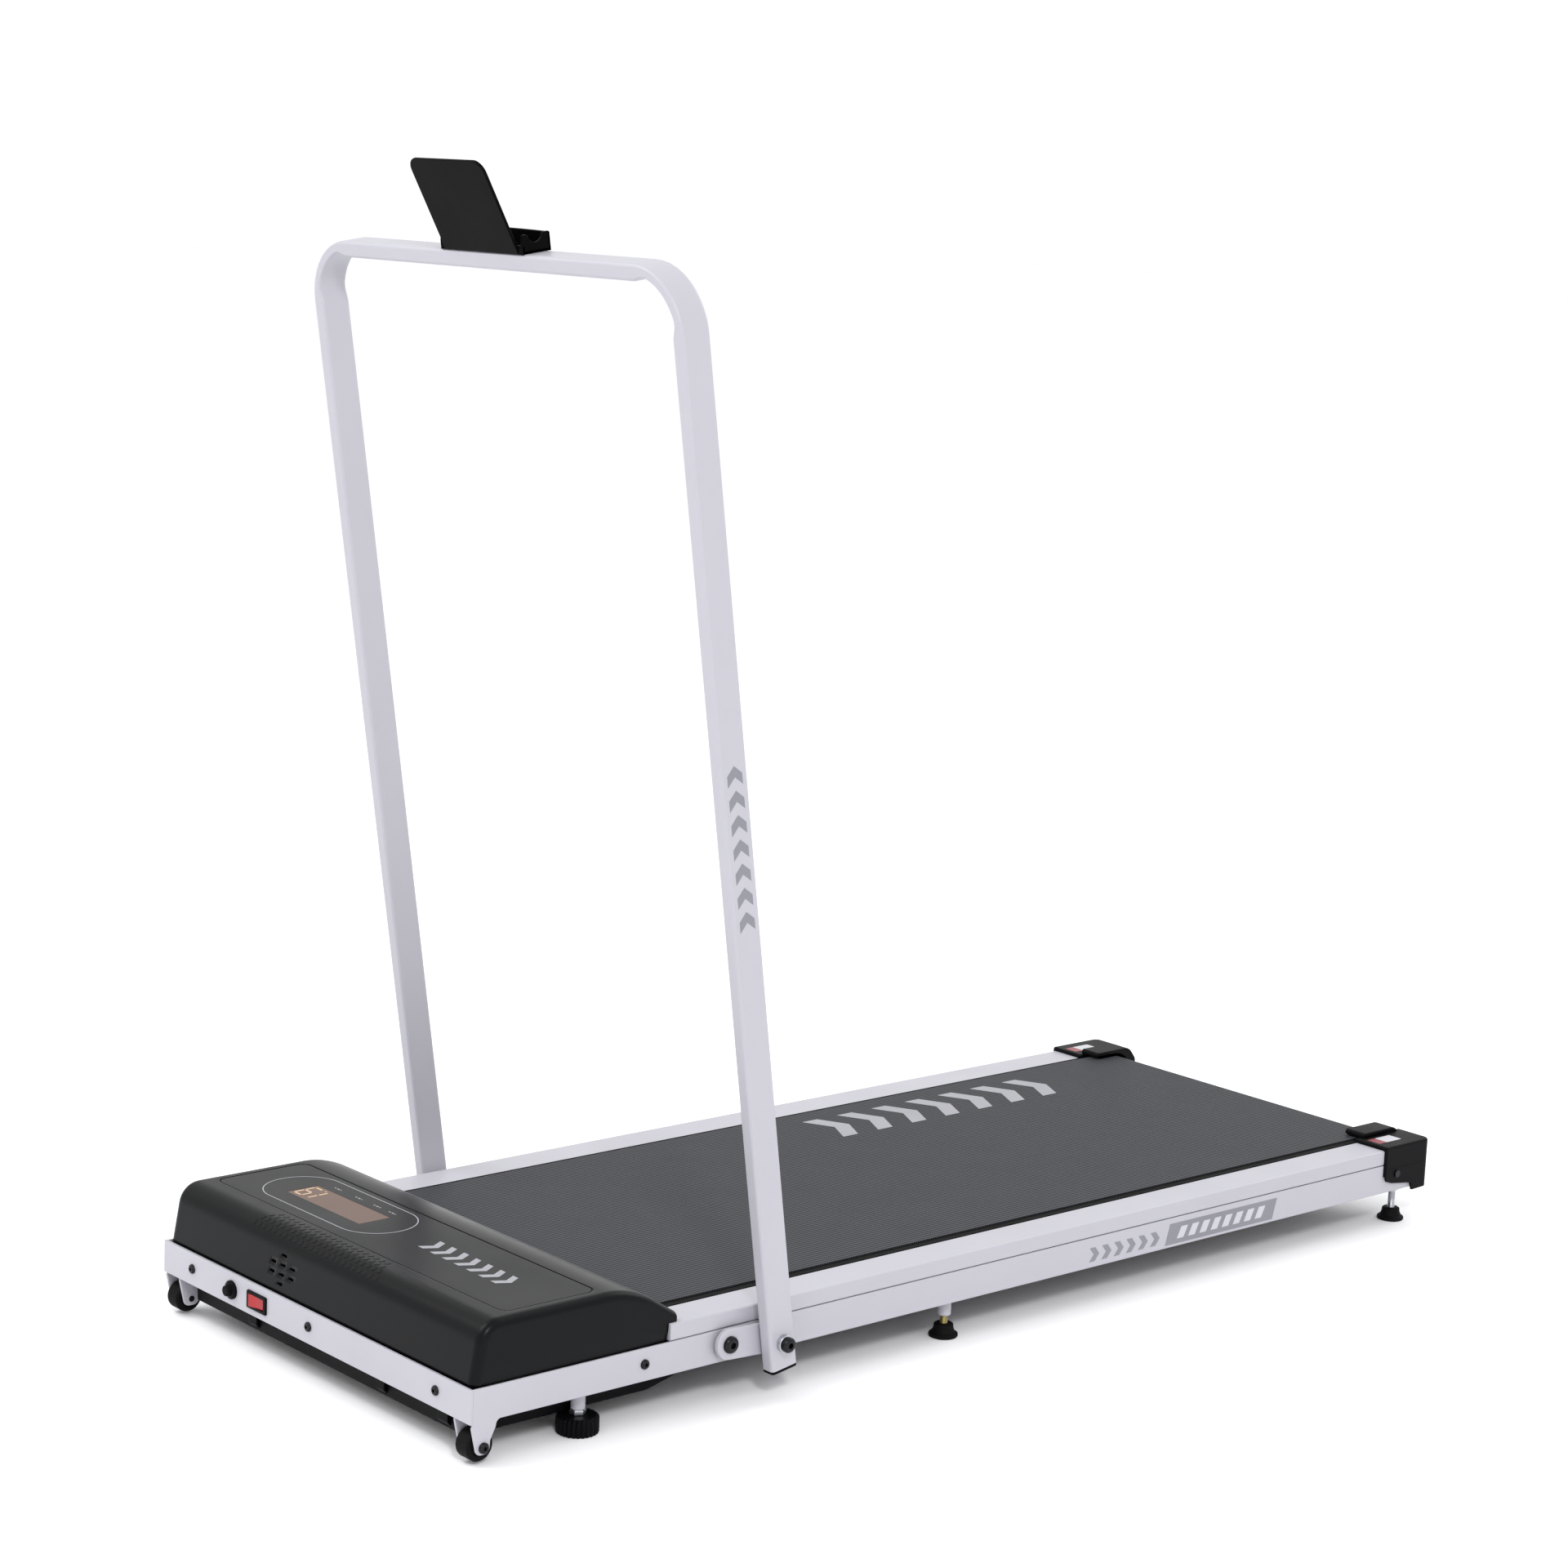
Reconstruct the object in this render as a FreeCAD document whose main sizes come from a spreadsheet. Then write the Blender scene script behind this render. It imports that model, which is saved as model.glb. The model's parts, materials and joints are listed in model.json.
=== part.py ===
"""Folding walking treadmill: parametric FreeCAD document, millimetres.

The machine stands on z = 0 and is centred on x = 0. The motor end is at -Y, the walker faces it,
and +X is the walker's left. Lengths along the machine are measured back from the front plate.
"""
import FreeCAD, Part
import math
import os
import re

import Sketcher
from FreeCAD import Placement, Rotation, Vector

SIZES = {
    # frame
    "front": (-634, "y of the front plate's outer face"),
    "half_width": (248, "centre to the outside of the side beams"),
    "frame_bottom": (40, "underside of the side beams"),
    "frame_top": (71, "top of the side beams"),
    "sheet": (2.5, "steel and cover sheet thickness"),
    "flange_inner": (218, "inner edge of the side beams' bottom flange"),
    "beam_end": (1262, "rear end of the side beams"),
    "member_depth": (25, "cross member, along the machine"),
    "member_low": (50, "underside of the cross members"),
    "member_high": (70, "top of the cross members"),
    "member_first": (400, "first cross member, back from the front"),
    "member_pitch": (320, "spacing of the cross members"),
    # foot rails
    "rail_inner": (208.2, "centre to the inner edge of a foot rail"),
    "rail_top": (87.2, "top of the foot rails"),
    "rail_start": (217, "front end of the foot rails"),
    "rail_end": (1203, "rear end of the foot rails"),
    # deck, belt and rollers
    "belt_half": (200, "half the width of the running belt"),
    "belt_thick": (1.8, "running belt thickness"),
    "roller_height": (66.4, "height of both roller axes"),
    "belt_inner": (21, "radius of the inside of the belt round a roller"),
    "roller_radius": (20.7, "roller drum"),
    "roller_bore": (16.05, "bearing seat in the drum"),
    "roller_half": (204, "half the length of a drum"),
    "front_roller": (165, "front roller axis"),
    "rear_roller": (1239, "rear roller axis"),
    "axle_radius": (7.5, "roller axles"),
    "axle_half": (242, "half the length of the roller axles"),
    "bearing_width": (10, "roller bearings"),
    "running_gap": (0.05, "clearance of the bearings"),
    "deck_half": (202, "half the width of the deck board"),
    "deck_thick": (14.9, "deck board thickness"),
    "deck_start": (195, "front edge of the deck board"),
    "deck_end": (1208, "rear edge of the deck board"),
    "cushion_radius": (12, "rubber deck cushions"),
    "cushion_side": (150, "centre to a deck cushion"),
    # motor and drive
    "motor_back": (66, "motor axis, back from the front"),
    "motor_height": (84, "height of the motor axis"),
    "motor_radius": (36, "motor housing"),
    "motor_start": (60, "inner end of the motor housing"),
    "motor_end": (185, "pulley end of the motor housing"),
    "shaft_radius": (5, "motor shaft"),
    "pulley_start": (204, "inner face of the pulleys"),
    "pulley_end": (216, "outer face of the pulleys"),
    "small_pulley": (12, "motor pulley radius"),
    "large_pulley": (26, "roller pulley radius"),
    "drive_thick": (2.5, "ribbed drive belt thickness"),
    "tray_half": (222, "half the width of the motor tray"),
    "tray_end": (135, "rear edge of the motor tray"),
    # motor cover and belly pan
    "cover_half": (245, "half the width of the motor cover"),
    "cover_top": (127, "top of the motor cover"),
    "cover_front": (3.9, "foot of the cover's front wall"),
    "cover_nose": (13.8, "front wall carried up to the top"),
    "cover_brow": (178, "corner between the flat top and the rear slope"),
    "cover_tail": (240, "rear slope carried down to the foot rails"),
    "cover_rear": (203, "rear edge over the running belt"),
    "horn_start": (172, "where the rear edge begins to sweep back"),
    "horn_end": (229.5, "rear edge at the sides"),
    "nose_radius": (22, "front top edge of the cover"),
    "brow_radius": (100, "bend into the rear slope"),
    "cheek_radius": (8, "side and top edges of the cover"),
    "panel_half": (231, "half the width of the display panel"),
    "panel_front": (45, "front edge of the display panel"),
    "panel_rear": (146.7, "rear edge of the display panel"),
    "panel_gap": (0.8, "groove round the display panel"),
    "panel_ledge": (3.5, "ledge of the panel under the cover"),
    "window_x": (-102, "middle of the display window"),
    "window_back": (98.5, "middle of the display window, back from the front"),
    "window_wide": (121, "display window across the machine"),
    "window_deep": (35, "display window along the machine"),
    "pan_half": (219.5, "half the width of the belly pan"),
    "pan_bottom": (18, "underside of the belly pan"),
    "pan_front": (16, "front of the belly pan"),
    "pan_slope": (215, "where the pan begins to rise"),
    "pan_end": (292, "rear end of the belly pan"),
    # switch and breaker
    "control_height": (55, "height of the rocker switch and the breaker"),
    "switch_x": (-84.5, "rocker switch"),
    "breaker_x": (-128, "breaker"),
    "plate_bolt_x": (197, "outer bolts of the front plate"),
    "plate_bolt_height": (56, "bolts of the front plate"),
    # handrail
    "pivot_back": (326.7, "handrail pivot, back from the front"),
    "pivot_height": (56, "height of the handrail pivot"),
    "lean": (9, "forward lean of the standing handrail, degrees"),
    "tube_wide": (15.3, "handrail tube across the machine"),
    "tube_deep": (30, "handrail tube along the machine"),
    "tube_wall": (1.5, "handrail tube wall"),
    "handrail_half": (275, "centre to the outside of the handrail"),
    "tube_below": (24.5, "tube end below the pivot"),
    "tube_above": (972.5, "top of the handrail above the pivot"),
    "bend_radius": (62, "outer radius of the handrail bends"),
    "sleeve_radius": (8, "pivot sleeve"),
    "sleeve_end": (280, "outer end of the pivot sleeve"),
    "pivot_fit": (0.1, "clearance of the pivot sleeve in the tube"),
    "bar_inner": (252, "inner face of the hinge bracket"),
    "bar_outer": (257, "outer face of the hinge bracket"),
    "bar_radius": (14.5, "half the height of the hinge bracket"),
    "bar_reach": (47.3, "pivot to the bracket bolt"),
    "bar_tilt": (-3, "slope of the hinge bracket, degrees"),
    "bolt_radius": (4, "M8 bolts"),
    # phone holder
    "holder_half": (61, "half the width of the phone holder"),
    "holder_x": (3, "middle of the phone holder"),
    "holder_wall": (3, "phone holder wall"),
    "holder_tall": (17.5, "height of the holder's tray"),
    "plate_half": (54.5, "half the width of the holder's back plate"),
    "plate_long": (91, "length of the holder's back plate"),
    "plate_lean": (20.4, "lean of the back plate from the handrail, degrees"),
    # wheels and feet
    "wheel_back": (14.4, "transport wheel axis"),
    "wheel_height": (17, "height of the transport wheel axis"),
    "wheel_radius": (14, "transport wheel"),
    "wheel_inner": (225.5, "inner face of a transport wheel"),
    "wheel_outer": (243.5, "outer face of a transport wheel"),
    "ear_inner": (221.5, "inner wheel ear"),
    "foot_x": (228, "centre to the feet"),
    "front_foot": (131, "front feet"),
    "mid_foot": (574, "middle feet"),
    "rear_foot": (1245, "rear feet"),
    "knob_radius": (19.5, "front foot knob"),
    "knob_tall": (16.5, "front foot knob height"),
    "pad_radius": (14.2, "rubber foot"),
    "pad_tall": (13.4, "rubber foot height"),
    "stud_top": (52, "upper end of the foot studs"),
    "thread_gap": (0.1, "clearance of a stud in its sleeve"),
    "sleeve_wall": (2.4, "foot sleeve wall"),
    # rear end caps
    "cap_start": (1202, "front edge of a rear cap"),
    "cap_end": (1276, "rear of a rear cap"),
    "cap_outer": (251, "outside of a rear cap"),
    "cap_top": (91.5, "top of a rear cap"),
    "cap_low": (37, "lowest edge of a rear cap"),
    "flap_inner": (186, "edge of the flap over the belt"),
    "flap_top": (96.5, "top of the flap over the belt"),
    "tension_x": (225, "belt tension bolts"),
}

doc = FreeCAD.newDocument("treadmill")
sheet = doc.addObject("Spreadsheet::Sheet", "Sizes")
for row, (alias, (value, note)) in enumerate(SIZES.items(), 1):
    sheet.set(f"A{row}", alias)
    sheet.set(f"B{row}", str(value))
    sheet.set(f"C{row}", note)
    sheet.setAlias(f"B{row}", alias)
doc.recompute()

nodes = {}


# ---------------------------------------------------------------- helpers

def bind(text):
    """Return an expression in which every size name reads its spreadsheet cell."""
    return re.sub(r"[a-z][a-z_]*", lambda word: "Sizes." + word.group() if word.group() in SIZES
                  else word.group(), str(text))


def number(text):
    """Return the present value of an expression."""
    return float(sheet.evalExpression(bind(text)))


def back(text):
    """Return the y of a place measured back from the front plate."""
    return f"(front + {text})"


def keep(name, thing):
    """Make an object a sub-part of the machine under its own name."""
    thing.Label = name
    nodes[name] = thing
    return thing


def place(thing, spot, axis=Vector(0, 0, 1), degrees=0):
    """Turn an object and bind its position to three expressions."""
    thing.Placement = Placement(Vector(0, 0, 0), Rotation(axis, degrees))
    for letter, text in zip("xyz", spot):
        thing.setExpression(f"Placement.Base.{letter}", bind(text))
    return thing


def block(low, high):
    """Return a box between two corners."""
    box = doc.addObject("Part::Box", "Block")
    for name, start, end in zip(("Length", "Width", "Height"), low, high):
        box.setExpression(name, bind(f"({end}) - ({start})"))
    return place(box, low)


TURNS = {"x": (Vector(0, 1, 0), 90), "y": (Vector(1, 0, 0), -90), "z": (Vector(0, 0, 1), 0)}


def rod(axis, start, radius, length):
    """Return a cylinder that runs from a point along +x, +y or +z."""
    cylinder = doc.addObject("Part::Cylinder", "Rod")
    cylinder.setExpression("Radius", bind(radius))
    cylinder.setExpression("Height", bind(length))
    turn_axis, degrees = TURNS[axis]
    return place(cylinder, start, turn_axis, degrees)


def fuse(parts):
    """Return the union of several objects."""
    union = doc.addObject("Part::MultiFuse", "Union")
    union.Shapes = parts
    return union


def group(parts):
    """Return several separate solids as one object."""
    compound = doc.addObject("Part::Compound", "Group")
    compound.Links = parts
    return compound


def cut(base, tools):
    """Return a base with one or several tools taken out of it."""
    result = doc.addObject("Part::Cut", "Remainder")
    result.Base = base
    result.Tool = tools[0] if len(tools) == 1 else fuse(tools)
    return result


def outline(body, role, corners):
    """Draw a closed outline of straight sides, each corner bound to two expressions."""
    sketch = body.newObject("Sketcher::SketchObject", "Outline")
    plane = next(item for item in body.Origin.OriginFeatures if item.Role == role)
    sketch.AttachmentSupport = [(plane, "")]
    sketch.MapMode = "FlatFace"
    points = [Vector(number(across), number(up), 0) for across, up in corners]
    count = len(points)
    for index, point in enumerate(points):
        sketch.addGeometry(Part.LineSegment(point, points[(index + 1) % count]), False)
    for index in range(count):
        sketch.addConstraint(Sketcher.Constraint("Coincident", index, 2, (index + 1) % count, 1))
    for index, (corner, point) in enumerate(zip(corners, points)):
        for kind, text, value in zip(("DistanceX", "DistanceY"), corner, (point.x, point.y)):
            row = sketch.addConstraint(Sketcher.Constraint(kind, -1, 1, index, 1, value))
            sketch.setExpression(f"Constraints[{row}]", bind(text))
    return sketch


def slab(role, corners, length, symmetric=True):
    """Return a body: an outline on an origin plane, padded."""
    body = doc.addObject("PartDesign::Body", "Slab")
    pad = body.newObject("PartDesign::Pad", "Pad")
    pad.Profile = outline(body, role, corners)
    pad.SideType = "Symmetric" if symmetric else "One side"
    pad.setExpression("Length", bind(length))
    return body


def turned(corners):
    """Return a body: an outline of radius and height turned round the z axis."""
    body = doc.addObject("PartDesign::Body", "Turned")
    turn = body.newObject("PartDesign::Revolution", "Turn")
    profile = outline(body, "XZ_Plane", corners)
    turn.Profile = profile
    turn.ReferenceAxis = (profile, ["V_Axis"])
    turn.Angle = 360
    return body


def soften(body, radius, wanted):
    """Fillet the edges of a body's last feature that pass a test on their middle and box."""
    doc.recompute()
    feature = body.Tip
    names = [f"Edge{index}" for index, edge in enumerate(feature.Shape.Edges, 1)
             if wanted(edge.CenterOfMass, edge.BoundBox)]
    fillet = body.newObject("PartDesign::Fillet", "Fillet")
    fillet.Base = (feature, names)
    fillet.setExpression("Radius", bind(radius))
    return body


def side(sign, inner, outer):
    """Return the low and high x of a span on the left (+1) or right (-1)."""
    return (inner, outer) if sign > 0 else (f"-({outer})", f"-({inner})")


SIDES = {"left": 1, "right": -1}


def across(sign, inner, outer, low, high):
    """Return a box on one side, from (y, z) low to (y, z) high."""
    start, end = side(sign, inner, outer)
    return block((start, *low), (end, *high))


def pin(sign, inner, outer, spot, radius):
    """Return a cylinder along x on one side, centred on a (y, z) spot."""
    start, end = side(sign, inner, outer)
    return rod("x", (start, *spot), radius, f"({end}) - ({start})")


# ---------------------------------------------------------------- frame

PIVOT = (back("pivot_back"), "pivot_height")
BOLT_DROP = math.sin(math.radians(SIZES["bar_tilt"][0]))
BAR_BOLT = (back("pivot_back - bar_reach * cos(bar_tilt)"), "pivot_height - bar_reach * sin(bar_tilt)")
SIDE_BOLT = (back("188.5"), "plate_bolt_height")
CAP_SCREW = (back("1221.8"), "60")
FEET = {"front": "front_foot", "mid": "mid_foot", "rear": "rear_foot"}


def make_frame():
    """Steel front plate, side beams with wheel ears, cross members and foot sleeves."""
    plate = block(("-half_width", "front", "frame_bottom"), ("half_width", back("sheet"), "frame_top"))
    holes = [rod("y", (x, back("-1"), "plate_bolt_height"), "2.6", "5")
             for x in ("-plate_bolt_x", "0", "plate_bolt_x")]
    holes.append(rod("y", ("breaker_x", back("-1"), "control_height"), "6.2", "5"))
    holes.append(block(("switch_x - 14.6", back("-1"), "control_height - 7.4"),
                       ("switch_x + 14.6", back("4"), "control_height + 7.4")))
    keep("front_plate", cut(plate, holes))

    ear = [("front", "frame_bottom"), ("front", "32"), (back("5"), "16"), (back("9.5"), "11.5"),
           (back("19"), "11.5"), (back("23"), "16"), (back("26.6"), "38"), (back("26.6"), "frame_bottom")]
    for name, sign in SIDES.items():
        web = across(sign, "half_width - sheet", "half_width", (back("sheet"), "frame_bottom"),
                     (back("beam_end"), "frame_top"))
        flange = across(sign, "flange_inner", "half_width - sheet", (back("sheet"), "frame_bottom"),
                        (back("beam_end"), "frame_bottom + sheet"))
        saddle = across(sign, "222", "axle_half", (back("front_roller - 8"), "frame_bottom + sheet"),
                        (back("front_roller + 8"), "roller_height - axle_radius - 0.1"))
        anchor = across(sign, "flange_inner", "half_width - sheet", (back("1204"), "frame_bottom + sheet"),
                        (back("1210"), "80"))
        ears = []
        for inner in ("half_width - sheet", "ear_inner"):
            plate = slab("YZ_Plane", ear, "sheet", symmetric=False)
            ears.append(place(plate, (side(sign, inner, f"{inner} + sheet")[0], "0", "0")))
        sleeves = []
        for spot in FEET.values():
            low = "33" if spot == "rear_foot" else "21.5"
            sleeves.append(rod("z", (f"{sign} * foot_x", back(spot), low),
                               "bolt_radius + thread_gap + sleeve_wall", f"frame_bottom - {low}"))
        beam = fuse([web, flange, saddle, anchor, *ears, *sleeves])
        bores = [rod("z", (f"{sign} * foot_x", back(spot), "15"), "bolt_radius + thread_gap", "40")
                 for spot in FEET.values()]
        bores.append(pin(sign, "half_width - 6", "half_width + 2", PIVOT, "bolt_radius + 0.2"))
        bores.append(pin(sign, "half_width - 6", "half_width + 2", BAR_BOLT, "bolt_radius + 0.2"))
        bores.append(pin(sign, "half_width - 6", "half_width + 2", SIDE_BOLT, "2.6"))
        bores.append(pin(sign, "half_width - 6", "half_width + 2", CAP_SCREW, "2.1"))
        bores.append(pin(sign, "ear_inner - 2", "half_width + 2", (back("wheel_back"), "wheel_height"), "3.1"))
        bores.append(rod("y", (f"{sign} * tension_x", back("1200"), "roller_height"), "4.2", "15"))
        keep(f"side_beam_{name}", cut(beam, bores))

    members = []
    for index in range(3):
        middle = f"member_first + {index} * member_pitch"
        low = back(f"{middle} - member_depth / 2")
        high = back(f"{middle} + member_depth / 2")
        tube = block(("-half_width + sheet", low, "member_low"), ("half_width - sheet", high, "member_high"))
        hollow = block(("-half_width", f"{low} + 2", "member_low + 2"),
                       ("half_width", f"{high} - 2", "member_high - 2"))
        members.append(cut(tube, [hollow]))
    keep("cross_members", group(members))


def make_foot_rails():
    """Hollow foot rails on top of the side beams."""
    for name, sign in SIDES.items():
        skin = across(sign, "rail_inner", "half_width", (back("rail_start"), "frame_top"),
                      (back("rail_end"), "rail_top"))
        hollow = across(sign, "rail_inner + 2", "half_width - 2", (back("rail_start - 1"), "frame_top + 2"),
                        (back("rail_end + 1"), "rail_top - 2"))
        keep(f"foot_rail_{name}", cut(skin, [hollow]))


# ---------------------------------------------------------------- deck, belt and rollers

def loop(radius, half):
    """Return a flat-sided loop of a given radius round both roller axes."""
    middle = block((f"-({half})", back("front_roller"), f"roller_height - ({radius})"),
                   (half, back("rear_roller"), f"roller_height + ({radius})"))
    ends = [rod("x", (f"-({half})", back(spot), "roller_height"), radius, f"2 * ({half})")
            for spot in ("front_roller", "rear_roller")]
    return fuse([middle, *ends])


def make_deck():
    """Deck board on rubber cushions, inside the running belt."""
    deck_top = "roller_height + belt_inner - 0.1"
    keep("running_deck", block(("-deck_half", back("deck_start"), f"{deck_top} - deck_thick"),
                               ("deck_half", back("deck_end"), deck_top)))
    pads = [rod("z", (f"{sign} * cushion_side", back(f"member_first + {index} * member_pitch"), "member_high"),
                "cushion_radius", f"{deck_top} - deck_thick - member_high")
            for index in range(3) for sign in SIDES.values()]
    keep("deck_cushions", group(pads))
    keep("running_belt", cut(loop("belt_inner + belt_thick", "belt_half"),
                             [loop("belt_inner", "belt_half + 1")]))


def make_roller(name, spot):
    """One roller: drum, fixed axle and two bearings."""
    drum = rod("x", ("-roller_half", back(spot), "roller_height"), "roller_radius", "2 * roller_half")
    bore = rod("x", ("-roller_half - 1", back(spot), "roller_height"), "roller_bore", "2 * roller_half + 2")
    keep(f"{name}_roller", cut(drum, [bore]))
    axle = rod("x", ("-axle_half", back(spot), "roller_height"), "axle_radius", "2 * axle_half")
    if spot == "rear_roller":
        axle = cut(axle, [rod("y", (f"{sign} * tension_x", back(f"{spot} - 10"), "roller_height"), "4.2", "20")
                          for sign in SIDES.values()])
    keep(f"{name}_roller_axle", axle)
    bearings = []
    for sign in SIDES.values():
        ring = pin(sign, "roller_half - 2 - bearing_width", "roller_half - 2", (back(spot), "roller_height"),
                   "roller_bore - running_gap")
        hole = pin(sign, "roller_half - 20", "roller_half", (back(spot), "roller_height"),
                   "axle_radius + running_gap")
        bearings.append(cut(ring, [hole]))
    keep(f"{name}_roller_bearings", group(bearings))


# ---------------------------------------------------------------- motor and drive

def drive_loop(grow):
    """Return the solid that a taut loop encloses round both pulleys, grown by a distance."""
    small = number("small_pulley") + grow
    large = number("large_pulley") + grow
    start = Vector(0, number(back("motor_back")), number("motor_height"))
    end = Vector(0, number(back("front_roller")), number("roller_height"))
    line = end - start
    heading = math.atan2(line.z, line.y)
    spread = math.acos((small - large) / line.Length)

    def rim(centre, radius, angle):
        return centre + Vector(0, math.cos(angle), math.sin(angle)) * radius

    upper = (rim(start, small, heading + spread), rim(end, large, heading + spread))
    lower = (rim(start, small, heading - spread), rim(end, large, heading - spread))
    edges = [
        Part.LineSegment(upper[0], upper[1]),
        Part.Arc(upper[1], rim(end, large, heading), lower[1]),
        Part.LineSegment(lower[1], lower[0]),
        Part.Arc(lower[0], rim(start, small, heading + math.pi), upper[0]),
    ]
    return Part.Face(Part.Wire([edge.toShape() for edge in edges]))


def make_motor():
    """Motor, tray, pulleys and ribbed drive belt."""
    axis = (back("motor_back"), "motor_height")
    housing = pin(1, "motor_start", "motor_end", axis, "motor_radius")
    keep("motor_housing", cut(housing, [pin(1, "motor_start + 6", "motor_end + 1", axis, "motor_radius - 4")]))
    rotor = pin(1, "motor_start + 10", "motor_end - 8", axis, "motor_radius - 8")
    shaft = pin(1, "motor_start + 7", "pulley_end + 2", axis, "shaft_radius")
    keep("motor_rotor", fuse([rotor, shaft]))
    end_ring = pin(1, "motor_end", "motor_end + 5", axis, "motor_radius")
    end_hole = pin(1, "motor_end - 1", "motor_end + 6", axis, "shaft_radius + 0.4")
    keep("motor_end_bell", cut(end_ring, [end_hole]))
    pulley = pin(1, "pulley_start", "pulley_end", axis, "small_pulley")
    keep("motor_pulley", cut(pulley, [pin(1, "pulley_start - 1", "pulley_end + 1", axis, "shaft_radius")]))
    roller_axis = (back("front_roller"), "roller_height")
    disc = pin(1, "pulley_start", "pulley_end", roller_axis, "large_pulley")
    keep("front_roller_pulley", cut(disc, [pin(1, "pulley_start - 1", "pulley_end + 1", roller_axis,
                                               "axle_radius + 0.5")]))
    thick = number("drive_thick")
    band = drive_loop(0.3 + thick).cut(drive_loop(0.3))
    drive = doc.addObject("Part::Feature", "Drive")
    drive.Shape = band.extrude(Vector(8, 0, 0))
    place(drive, ("pulley_start + 2", "0", "0"))
    keep("drive_belt", drive)

    floor = block(("-tray_half", back("sheet"), "frame_bottom + sheet"),
                  ("tray_half", back("tray_end"), "frame_bottom + 2 * sheet"))
    lip = block(("-tray_half", back("sheet"), "frame_bottom + sheet"),
                ("tray_half", back("2 * sheet"), "64"))
    openings = [rod("y", (x, back("-1"), "plate_bolt_height"), "2.6", "12")
                for x in ("-plate_bolt_x", "0", "plate_bolt_x")]
    openings.append(rod("y", ("breaker_x", back("-1"), "control_height"), "6.2", "12"))
    openings.append(block(("switch_x - 14.6", back("-1"), "control_height - 7.4"),
                          ("switch_x + 14.6", back("8"), "control_height + 7.4")))
    keep("motor_tray", cut(fuse([floor, lip]), openings))
    cradles = []
    for start in ("motor_start + 20", "motor_end - 30"):
        cradle = block((start, back("motor_back - 30"), "frame_bottom + 2 * sheet"),
                       (f"{start} + 10", back("motor_back + 30"), "62"))
        cradles.append(cut(cradle, [pin(1, "motor_start", "motor_end", axis, "motor_radius + 0.05")]))
    keep("motor_cradle", group(cradles))


def make_electronics():
    """Controller tray and board behind the front plate, display board under the panel."""
    low = ("-205", back("30"), "frame_bottom + 2 * sheet")
    tray = block(low, ("-55", back("125"), "70"))
    hollow = block(("-203", back("32"), "47"), ("-57", back("123"), "71"))
    posts = [rod("z", (x, back(y), "46"), "3", "4") for x in ("-195", "-65") for y in ("40", "115")]
    keep("controller_box", fuse([cut(tray, [hollow]), *posts]))
    board = block(("-200", back("35"), "50"), ("-60", back("120"), "51.6"))
    sink = block(("-198", back("60"), "51.6"), ("-160", back("112"), "78"))
    fins = [block((f"-196 + {index} * 6", back("59"), "56"), (f"-193 + {index} * 6", back("113"), "79"))
            for index in range(6)]
    cans = [rod("z", (x, back("60"), "51.6"), "9", "26") for x in ("-130", "-105")]
    relay = block(("-90", back("80"), "51.6"), ("-70", back("105"), "68"))
    keep("controller_board", fuse([board, cut(sink, fins), *cans, relay]))
    glass = "cover_top - 3"
    display = block(("window_x - window_wide / 2", back("window_back - window_deep / 2 - 4"), "112"),
                    ("window_x + window_wide / 2", back("window_back + window_deep / 2 + 4"), "113.6"))
    module = block(("window_x - window_wide / 2 + 3", back("window_back - window_deep / 2 + 3"), "113.6"),
                   ("window_x + window_wide / 2 - 3", back("window_back + window_deep / 2 - 3"), glass))
    keep("display_board", fuse([display, module]))


# ---------------------------------------------------------------- covers

def cover_profile(inset):
    """Return the corners of the cover's side outline, moved in by an inset."""
    return [
        (back(f"cover_front + {inset}"), "frame_top"),
        (back(f"cover_nose + {inset}"), f"cover_top - {inset}"),
        (back(f"cover_brow - 0.3 * {inset}"), f"cover_top - {inset}"),
        (back(f"cover_tail - 1.3 * {inset}"), "rail_top"),
        (back("rail_start"), "rail_top"),
        (back("rail_start"), "frame_top"),
    ]


def cover_solid(inset):
    """Return the rounded solid of the cover, moved in by an inset."""
    body = slab("YZ_Plane", cover_profile(inset), f"2 * (cover_half - {inset})")
    top = number(f"cover_top - {inset}")
    nose = number(back("cover_nose"))
    brow = number(back("cover_brow"))
    soften(body, f"nose_radius - {inset}",
           lambda mid, box: box.XLength > 100 and abs(mid.z - top) < 0.1 and abs(mid.y - nose) < 9)
    soften(body, f"brow_radius - {inset}",
           lambda mid, box: box.XLength > 100 and abs(mid.z - top) < 0.1 and abs(mid.y - brow) < 9)
    return body


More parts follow.
